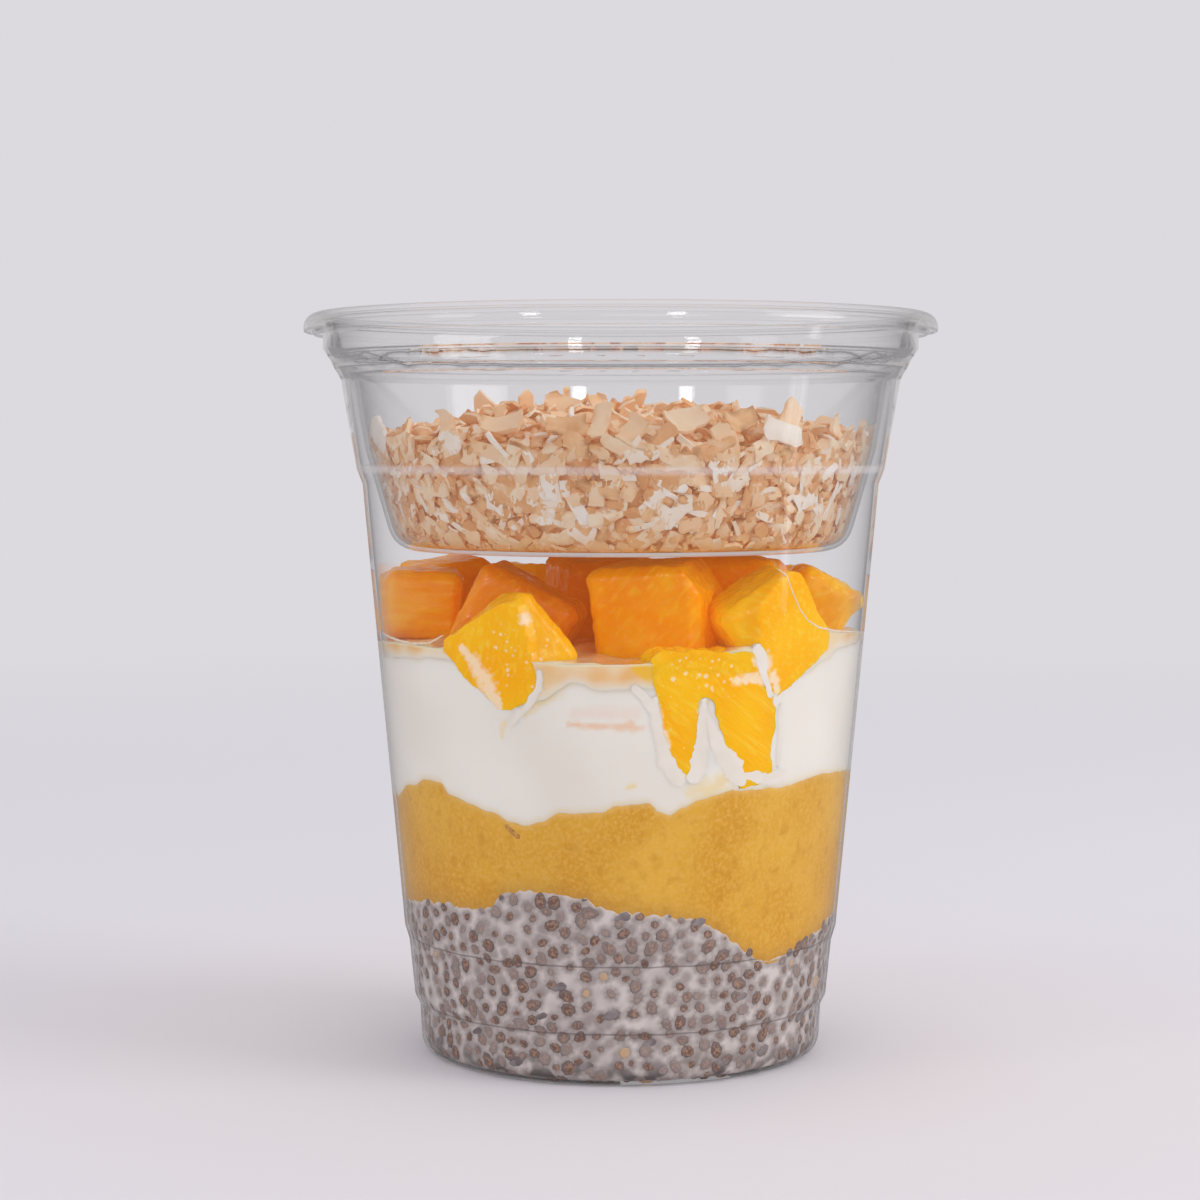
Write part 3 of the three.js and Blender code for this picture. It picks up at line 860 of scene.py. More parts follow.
chia_degrees = ring_angles(CHIA_STEPS)
chia_edge = chia_top(chia_degrees)
chia_edge = chia_edge + np.abs(lumps(chia_degrees, 1.9 * MM, 1.1 * MM, 3.0))
chia_edge = chia_edge + lumps(chia_degrees, 0.8 * MM, 0.25 * MM, 8.0) - 0.3 * MM
chia_low = 0 * chia_degrees + RING_INSIDE
chia = layer("chia_milk", chia_low, chia_edge, CHIA_REACH, CHIA_STEPS, CHIA_ROWS, chia_milk)
places = points_of(chia)
span = np.hypot(places[:, 0], places[:, 1])
under = places[:, 2] < 0.7 * MM
raise_by = (BASE_INSIDE - RING_INSIDE) * np.clip((PUNT_EDGE - span) / PUNT_SLOPE, 0, 1)
places[under, 2] += raise_by[under]
move_points(chia, places)
print("chia edge from", chia_edge.min(), "to", chia_edge.max())

# %% [markdown]
# A swollen seed is a flat oval, a little narrower at one end. A sphere would do, but it wastes its faces
# on sides that never show, so the seed is four rings of eight points. Three sizes are scattered over the
# layer, sunk in the milk, and pressed flat on the wall.

# %% Swollen seeds
SEED_TURNS = 8
SEED_RINGS = ((0.45, 0.9), (0.8, 0.62), (1.0, 0.1), (0.7, -0.7))  # radius and height of each ring
SEED_NARROWS = 0.18


def seed_shape(name, length, width, thickness):
    """An oval seed that lies flat, with its middle marked."""
    turns = SEED_TURNS
    points = [(0, 0, thickness / 2)]
    for ring, height in SEED_RINGS:
        for i in range(turns):
            angle = i * TURN / turns
            narrow = 1 - SEED_NARROWS * math.cos(angle)
            points.append((ring * length / 2 * math.cos(angle),
                           ring * width / 2 * math.sin(angle) * narrow, height * thickness / 2))
    points.append((0, 0, -thickness / 2))
    faces = [(0, 1 + i, 1 + (i + 1) % turns) for i in range(turns)]
    faces += grid_faces(len(SEED_RINGS), turns, 1)
    last = 1 + (len(SEED_RINGS) - 1) * turns
    faces += [(len(points) - 1, last + (i + 1) % turns, last + i) for i in range(turns)]
    made = mesh_object(name, points, [f if len(f) == 3 else f[::-1] for f in faces])
    middle = [1.0] + [0.75] * turns + [0.2] * turns + [0.0] * (2 * turns + 1)
    set_attribute(made, "middle", middle)
    return made


seed_kinds = kinds_of("seed_kinds", [
    seed_shape("seed_long", 1.15 * SEED_SIZE, 0.8 * SEED_SIZE, 0.5 * SEED_SIZE),
    seed_shape("seed_even", 0.95 * SEED_SIZE, 0.85 * SEED_SIZE, 0.5 * SEED_SIZE),
    seed_shape("seed_small", 0.8 * SEED_SIZE, 0.62 * SEED_SIZE, 0.4 * SEED_SIZE),
])
seeds = scattered(
    "chia_seeds", chia, Kinds=seed_kinds, Distance=0.66 * SEED_SPACING, Density=500000.0, Smallest=0.72,
    Largest=1.12, Tilt=0.2, Lowest=-0.34 * MM, Highest=-0.06 * MM, Seed=5, Finish=chia_seed)


def press(piece, radius_at, reach):
    """Flattens what sticks out past a wall against it."""
    spots = points_of(piece)
    span = np.hypot(spots[:, 0], spots[:, 1])
    share = np.minimum((radius_at(spots[:, 2]) + reach) / np.maximum(span, 1e-6), 1)
    spots[:, :2] *= share[:, None]
    move_points(piece, spots)


SEED_REACH = 0.13 * MM
press(seeds, cup_radius, SEED_REACH)
print("seeds:", len(seeds.data.polygons), "faces")

# %% [markdown]
# The jelly is painted now that the seeds have their places. Asking each point of the milk for its
# distance to every seed would take long, so a tree of the seeds' points finds the nearest one quickly.

# %% Jelly round the seeds
def nearness(piece, spots, inner, outer):
    """For each point of a piece, 1 at the nearest spot and 0 beyond a distance."""
    tree = kdtree.KDTree(len(spots))
    for i, spot in enumerate(spots):
        tree.insert(Vector(spot), i)
    tree.balance()
    far = np.array([tree.find(Vector(p))[2] for p in points_of(piece)])
    return np.clip((outer - far) / (outer - inner), 0, 1)


set_attribute(chia, "near_seed", nearness(chia, points_of(seeds), 0.1 * MM, 0.75 * MM))
set_attribute(chia, "near_edge", 0.6 * edge_share(chia, chia_edge, chia_degrees, True, 0.6 * MM))
settle(chia, "chia", "chia")
settle(seeds, "chia")

# %% [markdown]
# ## Films on the wall
# Where wet food touches the cup it leaves films: bubbles in the milk, smears of yogurt over the fruit and
# the bright edge of the juice. Painting them on the food would give them the food's own depth of light,
# and yogurt on mango would come out blue. So each is a flat closed lens that follows a path on the wall.
# It reaches a little deeper into the plastic than the food behind it, so it shows in front of that food.

# %% Lenses along a path on the wall
FILM_SIDES = 7  # points across its face
FILM_STEP = 0.25 * MM  # and from one row of them to the next
FLATTEST_END = 0.0004  # keeps the two ends from closing to a point


def film(path, reach, depth, seed):
    """Points and faces of a film through (degrees, height, half width) places, in millimetres."""
    degrees, heights, widths = np.array(path, float).T
    across = np.radians(degrees) * cup_radius(heights * MM)
    heights, widths = heights * MM, widths * MM
    steps = np.hypot(np.diff(across), np.diff(heights))
    run = np.concatenate([[0], np.cumsum(steps)])
    start, end = -widths[0], run[-1] + widths[-1]
    at = np.linspace(start, end, max(int((end - start) / FILM_STEP), 8))
    inner = np.clip(at, 0, run[-1])
    middle = np.column_stack([np.interp(inner, run, across), np.interp(inner, run, heights)])
    heading = np.column_stack([np.interp(inner, run, np.gradient(across, run)),
                               np.interp(inner, run, np.gradient(heights, run))])
    heading /= np.linalg.norm(heading, axis=1)[:, None]
    middle += heading * (at - inner)[:, None]
    half = np.interp(inner, run, widths)
    half *= np.sqrt(np.clip(1 - ((at - inner) / np.maximum(half, 1e-9)) ** 2, FLATTEST_END, 1))
    half *= 1 + 0.3 * rough(np.column_stack([middle, 0 * at]), 0.7 * MM, seed + 1)
    wobble = rough(np.column_stack([middle, 0 * at]), 1.3 * MM, seed)
    points = []
    shares = np.linspace(-1, 1, FILM_SIDES)
    for spot, along, width, push in zip(middle, heading, half, wobble):
        ring = [(v, reach) for v in shares] + [(v, -depth) for v in shares[-2:0:-1]]
        for v, rise in ring:
            place = spot + np.array([-along[1], along[0]]) * width * (v + 0.25 * push)
            radius = cup_radius(place[1]) + rise * math.sqrt(1 - v * v)
            turn = place[0] / cup_radius(spot[1])
            points.append((radius * math.sin(turn), -radius * math.cos(turn), place[1]))
    count = 2 * FILM_SIDES - 2
    rows = len(at)
    faces = grid_faces(rows, count)
    faces.append(tuple(range(count))[::-1])
    faces.append(tuple(range((rows - 1) * count, rows * count)))
    return points, faces


def films(name, paths, reach, depth, finish):
    points, faces = [], []
    for number, path in enumerate(paths):
        more_points, more_faces = film(path, reach * MM, depth * MM, 3.0 * number)
        faces += [tuple(len(points) + i for i in face) for face in more_faces]
        points += more_points
    made = mesh_object(name, points, faces, finish)
    recalculated(made)
    return made


def recalculated(piece):
    """Turns every face outwards."""
    shape = bmesh.new()
    shape.from_mesh(piece.data)
    bmesh.ops.recalc_face_normals(shape, faces=shape.faces)
    shape.to_mesh(piece.data)
    shape.free()


print("points across a film:", 2 * FILM_SIDES - 2)

# %% Air bubbles in the milk
# Each is (degrees, height, half width).
BUBBLES = [
    (0.4, 25.6, 0.85), (19.6, 24.5, 0.8), (-16.2, 14.8, 0.8), (-2.4, 10.9, 1.0), (-21.4, 10.3, 0.6),
    (-9.6, 2.9, 0.8), (7.8, 6.5, 0.75), (-64, 3.2, 1.0), (62, 7.2, 1.2), (43.8, 3.6, 0.95), (29.7, 2.8, 0.8),
    (-30.3, 2.8, 0.9), (34, 12.6, 0.7), (-44, 6.5, 0.7),
]
# Painted shade: each bubble is a dark grey film for the shadow inside an air pocket at the wall.
bubble_shade_finish = plain_food("bubble", (0.17, 0.14, 0.14, 1), (0.30, 0.26, 0.26, 1), 0.15, 500.0)
bubble_paths = [[(a - 0.8, z, 0.8 * w), (a + 0.8, z + 0.3, w)] for a, z, w in BUBBLES]
settle(films("chia_bubbles", bubble_paths, 0.15, 0.3, bubble_shade_finish), "chia")

# %% [markdown]
# ## Mango puree
# The puree is ochre rather than orange, finely grainy like wet sand, and a little darker in its folds,
# which is painted shade. Its upper edge is crisp and slightly ragged. The grain could be real bumps, but
# under the wall it is pressed flat, so it is only colour: three sizes of blotches, paler towards the
# yogurt, where the two have mixed, and browner towards the chia. One loose seed lies in it.

# %% The puree layer
LAYER_DIP = 0.8 * MM  # how far a layer goes down behind the one below
LAYER_STEPS = 420
PUREE_ROWS = 40
OCHRE, BRIGHT_OCHRE = (0.72, 0.342, 0.026, 1), (0.82, 0.445, 0.05, 1)
PUREE_GRAIN = (0.85, 0.50, 0.10, 1)
PUREE_FOLD_SHADE = (0.62, 0.27, 0.02, 1)
WITH_YOGURT = (0.88, 0.62, 0.26, 1)
BROWNER_NEAR_CHIA = (0.46, 0.24, 0.06, 1)


def puree_material():
    made, tree, shader, _ = new_material("mango_puree")
    base = mixed(tree, blotch_mask(tree, Scale=90.0, Detail=1.0), OCHRE, BRIGHT_OCHRE)
    grain = blotch_mask(tree, Scale=1800.0, Detail=3.0, Low=0.42, High=0.85)
    grainy = mixed(tree, grain, base, PUREE_GRAIN)
    # Painted shade: darker blotches for the puree's folds.
    fold_shade = blotch_mask(tree, Scale=520.0, Detail=4.0, Low=0.52, High=0.95)
    fold_shaded = mixed(tree, fold_shade, grainy, PUREE_FOLD_SHADE)
    milky = math_node(tree, "MULTIPLY", attribute(tree, "near_edge"), 0.35)
    fold_shaded = mixed(tree, milky, fold_shaded, WITH_YOGURT)
    # Browner towards the chia.
    towards_chia = math_node(tree, "MULTIPLY", attribute(tree, "near_chia"), 0.5)
    tree.links.new(mixed(tree, towards_chia, fold_shaded, BROWNER_NEAR_CHIA), shader.inputs["Base Color"])
    gloss(shader, 0.4, 0.2)
    bumpy(tree, shader, 0.12, 0.08, Coarse=700.0, Fine=2600.0)
    return made


layer_degrees = ring_angles(LAYER_STEPS)
puree_edge = puree_top(layer_degrees) + lumps(layer_degrees, 2.0 * MM, 0.3 * MM, 21.0)
puree_edge = puree_edge + lumps(layer_degrees, 0.7 * MM, 0.07 * MM, 22.0)
puree = layer("mango_puree", chia_top(layer_degrees) - LAYER_DIP, puree_edge, 0.055 * MM, LAYER_STEPS,
              PUREE_ROWS, puree_material())
set_attribute(puree, "near_edge", edge_share(puree, puree_edge, layer_degrees, True, 0.9 * MM))
set_attribute(puree, "near_chia", edge_share(puree, chia_edge, chia_degrees, False, 4 * MM) ** 2)
face_the_wall(puree)
settle(puree, "puree", "puree")
seed_finish = plain_food("seed_in_puree", (0.45, 0.20, 0.05, 1), (0.66, 0.34, 0.08, 1), 0.3, 1500.0)
loose_seed = films("puree_seed", [[(-28.2, 38.6, 0.5), (-25.6, 37.3, 0.6)]], 0.09, 0.5, seed_finish)
settle(loose_seed, "puree")

# %% [markdown]
# ## Yogurt
# Thick yogurt is smooth and nearly white. Plain white would look like plaster, so light is let deep into
# it, and it shows warm or grey only where it turns away from the light. It takes a little yellow from the
# puree along its lower edge. The fruit has stained it yellow in places, and a piece that lies just
# behind the wall shines through as a blush with a paler pink above it.

# %% The yogurt layer
YOGURT, PALE_YOGURT = (0.87, 0.82, 0.73, 1), (0.92, 0.88, 0.80, 1)
WITH_PUREE = (0.90, 0.70, 0.38, 1)
YOGURT_ROWS = 46
STAINS = {  # the colour of each stain, how strong it is, and its (degrees, height, half width) paths
    "yellow": ((0.93, 0.68, 0.26, 1), 0.6, [
        [(-22.4, 55.3, 0.4), (-18.6, 57.4, 0.8), (-14.8, 59.4, 1.1), (-11.7, 60.8, 1.0)],
        [(1.7, 45.0, 0.3), (3.5, 45.1, 0.3)],
        [(12.0, 56.6, 0.9), (16.6, 56.4, 1.2), (19.3, 57.4, 0.9)],
        [(17.0, 44.2, 0.8), (22.0, 44.6, 1.3), (27.5, 46.4, 0.9)],
        [(-27.6, 54.0, 0.3), (-28.4, 51.6, 0.2)],
    ]),
    "pink": ((0.90, 0.72, 0.62, 1), 0.5, [
        [(-10.5, 55.5, 0.7), (-4.4, 55.9, 0.8), (3.4, 55.5, 0.8)],
    ]),
    "blush": ((0.90, 0.52, 0.28, 1), 0.6, [
        [(-11.9, 54.1, 0.3), (-7.9, 53.9, 0.4), (-2.7, 53.8, 0.4), (2.5, 53.8, 0.6), (5.0, 53.5, 0.4)],
    ]),
}


def yogurt_material():
    made, tree, shader, _ = new_material("yogurt")
    cloud = blotch_mask(tree, Scale=60.0, Detail=1.0)
    colour = mixed(tree, cloud, YOGURT, PALE_YOGURT)
    edges = attribute(tree, "near_edge")
    colour = mixed(tree, math_node(tree, "MULTIPLY", edges, 0.6), colour, WITH_PUREE)
    for name, (tint, strength, _) in STAINS.items():
        mask = math_node(tree, "MULTIPLY", stain_mask(tree, name, 700.0, 0.4), strength)
        colour = mixed(tree, mask, colour, tint)
    tree.links.new(colour, shader.inputs["Base Color"])
    gloss(shader, 0.35, 0.2)
    soft(shader, 0.4, (1.0, 0.8, 0.6), 2.0)
    return made


yogurt_edge = yogurt_top(layer_degrees) + lumps(layer_degrees, 3.0 * MM, 0.3 * MM, 31.0)
yogurt_edge = yogurt_edge + lumps(layer_degrees, 1.0 * MM, 0.08 * MM, 32.0)
yogurt = layer("yogurt_layer", puree_top(layer_degrees) - LAYER_DIP, yogurt_edge, 0.04 * MM, LAYER_STEPS,
               YOGURT_ROWS, yogurt_material())
places = points_of(yogurt)
span = np.hypot(places[:, 0], places[:, 1])
inside = span < cup_radius(places[:, 2]) - 1.0 * MM
upper = inside & (places[:, 2] > 50 * MM)
places[upper, 2] += 0.9 * MM * rough(places[upper], 5 * MM, 7.0)
move_points(yogurt, places)
low_edge = edge_share(yogurt, puree_edge, layer_degrees, False, 1.1 * MM)
top_edge = edge_share(yogurt, yogurt_edge, layer_degrees, True, 0.7 * MM)
set_attribute(yogurt, "near_edge", np.maximum(low_edge, 0.6 * top_edge))
for name, (_, _, paths) in STAINS.items():
    painted(yogurt, name, paths)
face_the_wall(yogurt)
settle(yogurt, "yogurt", "yogurt")

# %% [markdown]
# ## Juice
# Mango juice has run down between the fruit and stands on the yogurt. At the wall it is an uneven band of
# orange and cream, with a bright line along its top where it climbs the plastic. A clear liquid would
# need its own glass inside the cup's, so it is one more opaque layer, thin, glossy and soft to light.

# %% The juice
JUICE, PALE_JUICE = (0.90, 0.55, 0.22, 1), (0.92, 0.72, 0.46, 1)
RICH_JUICE = (0.97, 0.56, 0.06, 1)
OVER_YOGURT = (0.91, 0.82, 0.68, 1)
JUICE_LIP = (0.97, 0.84, 0.58, 1)
JUICE_ROWS = 20
JUICE_TOP = [
    (-85, 64.0), (-62, 64.5), (-43, 64.2), (-30, 63.4), (-11, 62.7), (0, 62.8), (9, 62.9), (18, 63.4),
    (30, 64.6), (40, 66.8), (46, 68.0), (51, 67.2), (67, 66.0), (90, 65.2), (130, 63.6), (170, 64.6),
    (215, 63.2), (245, 64.4),
]
RICH = [
    [(4.2, 62.6, 1.2), (9.3, 61.6, 2.2), (15.5, 61.0, 2.6), (22.0, 60.4, 2.4), (28.0, 61.5, 2.0)],
    [(36.0, 64.5, 1.2), (41.0, 66.0, 1.4), (46.0, 67.4, 0.9)],
]


def juice_material():
    made, tree, shader, _ = new_material("mango_juice")
    cloud = blotch_mask(tree, Scale=170.0, Detail=1.0, Low=0.4, High=0.6)
    colour = mixed(tree, cloud, JUICE, PALE_JUICE)
    colour = mixed(tree, stain_mask(tree, "rich", 500.0), colour, RICH_JUICE)
    colour = mixed(tree, attribute(tree, "near_yogurt"), colour, OVER_YOGURT)
    colour = mixed(tree, attribute(tree, "lip"), colour, JUICE_LIP)
    tree.links.new(colour, shader.inputs["Base Color"])
    gloss(shader, 0.15, 0.4)
    soft(shader, 0.4, (1.0, 0.6, 0.3), 1.5)
    return made


juice_edge = around(JUICE_TOP)(layer_degrees)
juice = layer("mango_juice", yogurt_top(layer_degrees) - LAYER_DIP, juice_edge, 0.03 * MM, LAYER_STEPS,
              JUICE_ROWS, juice_material())
places = points_of(juice)
at_wall = np.hypot(places[:, 0], places[:, 1]) > cup_radius(places[:, 2]) - 0.1 * MM
lip = edge_share(juice, juice_edge, layer_degrees, True, 0.4 * MM)
set_attribute(juice, "lip", np.where(at_wall, 0.9 * lip, 0.1))
low_edge = edge_share(juice, yogurt_edge, layer_degrees, False, 1.6 * MM)
set_attribute(juice, "near_yogurt", np.where(at_wall, low_edge, 0))
painted(juice, "rich", RICH)
loose = ~at_wall & (places[:, 2] > 60 * MM)
places[loose, 2] += 1.0 * MM * rough(places[loose], 4 * MM, 17.0)
move_points(juice, places)
face_the_wall(juice)
settle(juice, "mango")

# %% [markdown]
# Yogurt has been dragged over the fruit that touches the cup, and juice has dried to a fine line where
# it stood higher. Both are films. The smears have a plain finish of the yogurt's colour, and their whole
# face gets the wall's normals, so that they run into the yogurt beside them without a seam.

# %% Smears and the bright edge of the juice
BLOBS = [
    [(32.4, 64.4, 1.1), (33.3, 63.2, 1.4), (34.4, 60.8, 0.7), (36.4, 57.9, 0.6)],
    [(31.0, 46.0, 0.7), (34.0, 45.9, 1.3), (37.0, 45.3, 1.0), (40.5, 45.6, 1.3), (42.0, 45.6, 0.8)],
    [(7.8, 57.8, 0.5), (7.9, 55.6, 0.9), (9.0, 51.9, 1.0), (10.6, 48.6, 1.4), (13.4, 46.2, 1.4)],
    [(19.3, 57.4, 0.5), (18.9, 54.0, 0.9), (18.9, 51.5, 1.2), (18.4, 48.4, 1.6), (17.4, 46.6, 1.4)],
    [(20.2, 55.4, 0.5), (21.8, 52.6, 1.0), (24.4, 49.6, 1.6), (27.6, 47.2, 1.9), (29.2, 45.8, 1.4)],
    [(39.8, 56.0, 0.4), (40.3, 51.0, 0.5), (40.5, 47.4, 0.5)],
    [(-18.3, 61.5, 0.5), (-18.6, 59.2, 0.6), (-21.4, 56.6, 0.7), (-25.6, 54.2, 0.7)],
    [(3.3, 59.3, 0.7), (5.4, 58.2, 0.8), (6.9, 56.4, 0.7)],
]
JUICE_EDGE = [
    [(36.6, 76.2, 0.1), (39, 75.3, 0.13), (41.5, 72.4, 0.16), (44, 70.1, 0.16), (47, 68.4, 0.16),
     (51, 67.3, 0.2), (58, 66.5, 0.2), (67, 66.0, 0.16), (76, 65.7, 0.1)],
    [(-77, 65.4, 0.1), (-66, 64.9, 0.2), (-56, 64.6, 0.2), (-49, 65.0, 0.18), (-44, 66.3, 0.12)],
]
WHOLE_FACE = -0.3 * MM  # a margin that takes in all of a film but its back
line_finish = plain_food("juice_line", (0.88, 0.66, 0.44, 1), (0.90, 0.76, 0.58, 1), 0.2)
smear_finish = plain_food("smear", (0.86, 0.79, 0.69, 1), (0.90, 0.84, 0.75, 1), 0.35)
smears = films("yogurt_blobs", BLOBS, 0.22, 0.6, smear_finish)
face_the_wall(smears, WHOLE_FACE)
settle(smears, "yogurt")
settle(films("juice_edge", JUICE_EDGE, 0.16, 0.3, line_finish), "mango")

# %% [markdown]
# ## Pieces of mango
# Sixteen rough cubes of ripe mango lie on and in the yogurt, some yellow, some riper, some deep orange.
# The deep orange is partly the fruit's own and partly painted shade, for pieces that lie in shadow.
# The cut faces are fibrous and wet, flecked with yogurt. One orange for all would look like plastic, so
# the flesh is mixed from three colours along its fibres. Light that soaks in and comes out again is most
# of what one sees, and a small glow stands for what is lost under the insert's shade.

# %% Marks on the mango
# Each is a path of (degrees, height, half width).
CREAM_MARKS = [
    [(-38.5, 64.7, 0.5), (-35.2, 62.8, 1.0), (-32.0, 59.8, 1.4), (-29.7, 57.1, 1.0), (-28.1, 55.1, 0.4)],
    [(-22.0, 69.7, 0.5), (-21.7, 68.9, 0.6)],
    [(26.5, 60.0, 0.5), (30.5, 60.5, 0.7), (36.2, 60.0, 0.6)],
    [(32.8, 62.9, 1.0), (34.6, 62.6, 1.2)],
    [(37.0, 60.9, 0.6), (38.3, 58.6, 0.6), (38.0, 56.8, 0.5)],
    [(7.6, 57.6, 0.6), (8.6, 54.6, 0.6), (10.9, 50.6, 0.5)],
    [(18.6, 56.2, 0.5), (20.4, 53.6, 0.5), (23.4, 50.2, 0.5)],
]
FLECKED = [
    [(-30.0, 66.0, 3.0), (-22.0, 62.0, 4.5), (-19.0, 58.5, 2.5)],
    [(10.0, 61.0, 2.5), (30.0, 61.0, 2.0)],
    [(12.0, 52.0, 1.5), (13.0, 47.0, 1.5)],
]
print("marks of cream:", len(CREAM_MARKS), "and flecked places:", len(FLECKED))

# %% Mango materials
FLECK = (0.95, 0.84, 0.62, 1)
CREAM_ON_MANGO = (0.93, 0.78, 0.60, 1)
GLOW = (1.0, 0.4, 0.0, 1)
SOAKED = 0.11  # strength of the glow


def fleck_mask(tree, place):
    """Small round flecks of yogurt where the fruit was flecked."""
    cells = add_node(tree, "ShaderNodeTexVoronoi", {"Vector": place, "Scale": 1050.0, "Randomness": 1.0})
    kept = add_node(tree, "ShaderNodeSeparateColor", {0: cells.outputs["Color"]}).outputs[0]
    size = math_node(tree, "MULTIPLY", share_of(tree, kept, 0.4, 1.0, 0.0, 0.4), attribute(tree, "flecked"))
    inside = math_node(tree, "SUBTRACT", size, cells.outputs["Distance"])
    return share_of(tree, inside, -0.14, 0.06, 0.0, 0.6)


def mango_material(name, flesh, deep, bright):
    made, tree, shader, _ = new_material(name)
    base = mixed(tree, blotch_mask(tree, Scale=120.0, Detail=1.0), flesh, deep)
    threads = add_node(tree, "ShaderNodeTexNoise", {
        "Vector": attribute(tree, "grain", "Vector"), "Scale": 1100.0, "Detail": 2.0})
    pale = share_of(tree, threads.outputs["Fac"], 0.5, 0.75, 0.0, 0.7)
    colour = mixed(tree, pale, base, bright)
    place = add_node(tree, "ShaderNodeTexCoord").outputs["Object"]
    colour = mixed(tree, fleck_mask(tree, place), colour, FLECK)
    smeared = math_node(tree, "MULTIPLY", stain_mask(tree, "cream", 1100.0, 0.22), 0.85)
    colour = mixed(tree, smeared, colour, CREAM_ON_MANGO)
    tree.links.new(colour, shader.inputs["Base Color"])
    gloss(shader, 0.18, 0.25)
    soft(shader, 0.6, (1.0, 0.42, 0.05), 1.3)
    glow = mixed(tree, 0.5, deep, GLOW)
    tree.links.new(glow, shader.inputs["Emission Color"])
    set_sockets(shader, Emission_Strength=SOAKED)
    made.cycles.emission_sampling = "NONE"
    wet = add_node(tree, "ShaderNodeTexNoise", {
        "Vector": attribute(tree, "grain", "Vector"), "Scale": 3200.0, "Detail": 1.0})
    height = math_node(tree, "ADD", threads.outputs["Fac"], wet.outputs["Fac"])
    bump = add_node(tree, "ShaderNodeBump", {"Height": height, "Strength": 0.45, "Distance": 0.12 * MM})
    tree.links.new(bump.outputs["Normal"], shader.inputs["Normal"])
    return made


MANGO_FINISHES = {
    "yellow": mango_material("mango_yellow", (1.0, 0.53, 0.008, 1), (0.98, 0.44, 0.002, 1),
                             (1.0, 0.64, 0.05, 1)),
    "ripe": mango_material("mango_ripe", (1.0, 0.42, 0.003, 1), (0.93, 0.31, 0.0, 1),
                           (1.0, 0.53, 0.02, 1)),
    # Partly the fruit's own deeper orange, partly painted shade for the pieces in shadow.
    "deep": mango_material("mango_deep_shaded", (0.90, 0.32, 0.015, 1), (0.80, 0.23, 0.004, 1),
                           (0.95, 0.45, 0.04, 1)),
}
print("mango finishes:", list(MANGO_FINISHES))

# %% [markdown]
# Each cube's place, size and cuts are already in the frame's solids. Subdividing those would keep their
# uneven triangles, so a voxel remesh gives each one small even faces, a few smoothing passes round its
# edges, and noise roughens it. Solids that belong to one piece of fruit are grown until they touch, and
# become one mesh. What lies close to the cup is laid flat on it, easing off further in.

# %% The pieces
PIECES = {  # the numbers of the solids that make each piece
    "yellow": [(1,), (2,), (4, 5, 6), (10,), (13,), (15,), (16,)],
    "ripe": [(3,), (7,), (9,), (12,), (14,)],
    # The deep finish is partly painted shade for these pieces, which lie in shadow.
    "deep": [(8,), (11,)],
}
VOXEL = 0.45 * MM
FRUIT_REACH = 0.10 * MM  # how far pressed fruit goes into the plastic
REACH_STEP = 0.005 * MM  # and how much further for each higher number, so that no two meet
NEAR_WALL = 0.75 * MM  # fruit this near the wall lies flat on it
EASE_OFF = 0.9 * MM  # and this much further in it is free of it
THREAD_STRETCH = 0.13  # width of a fibre as a share of its length
LEVEL_THREADS = (7, 12)  # pieces whose fibres lie level
GROW_TOGETHER = 0.35 * MM


def even_solid(name, nodes):
    """The frame's solids with small even faces. Several that touch become one."""
    shape = bmesh.new()
    for node in nodes:
        shape.from_mesh(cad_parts[node].data)
    bmesh.ops.remove_doubles(shape, verts=shape.verts, dist=1e-6)
    shape.normal_update()
    if len(nodes) > 1:
        for corner in shape.verts:
            corner.co += corner.normal * GROW_TOGETHER
    copy = mesh_object(name + "_copy", [], [])
    shape.to_mesh(copy.data)
    shape.free()
    even = copy.modifiers.new("even", "REMESH")
    even.mode = "VOXEL"
    even.voxel_size = VOXEL
    even.use_smooth_shade = True
    calm = copy.modifiers.new("calm", "SMOOTH")
    calm.factor = 0.5
    calm.iterations = 4
    made = plain_copy(copy, name)
    drop(copy)
    return made


def thread_places(places, number):
    """Places turned at random and squeezed along one way, so that a noise on them looks fibrous."""
    draw = random.Random(number)
    angles = [0, 0, 0] if number in LEVEL_THREADS else [draw.uniform(0, TURN) for _ in range(3)]
    turn = np.array(Euler(angles).to_matrix())
    return places @ turn.T * (THREAD_STRETCH, 1, 1)


def press_on_wall(piece, places, reach):
    """Lays what is close to the wall flat on it, with the normals of the wall."""
    span = np.hypot(places[:, 0], places[:, 1])
    wall = cup_radius(places[:, 2])
    ease = np.clip((wall - span - NEAR_WALL) / EASE_OFF, 0, 1)
    ease = ease * ease * (3 - 2 * ease)
    near = ease < 1
    places[near, :2] *= (((wall + reach) * (1 - ease) + span * ease)[near] / span[near])[:, None]
    move_points(piece, places)
    piece.data.shade_smooth()
    face_the_wall(piece)


def mango_piece(numbers, ripeness):
    nodes = [f"mango_{number:02d}" for number in numbers]
    made = even_solid("mango_piece_" + "_".join(f"{number:02d}" for number in numbers), nodes)
    made.data.materials.clear()
    made.data.materials.append(MANGO_FINISHES[ripeness])
    places, outward = points_of(made), normals_of(made)
    threads = thread_places(places, numbers[0])
    set_attribute(made, "grain", threads)
    swell = 0.4 * rough(places, 5.0 * MM, numbers[0]) + 0.12 * rough(threads, 0.8 * MM, -numbers[0])
    swell += (0.15 if len(nodes) == 1 else 0.5) * rough(places, 1.5 * MM, numbers[0])
    reach = FRUIT_REACH + numbers[0] * REACH_STEP
    press_on_wall(made, places + outward * swell[:, None] * MM, reach)
    painted(made, "cream", CREAM_MARKS)
    painted(made, "flecked", FLECKED)
    settle(made, "mango", *nodes)


for ripeness, groups in PIECES.items():
    for numbers in groups:
        mango_piece(numbers, ripeness)

# %% [markdown]
# Over the largest piece at the wall lies a little crushed mango. It is a film again, with the mango's
# own finish, which needs the places of its fibres and its flecks.

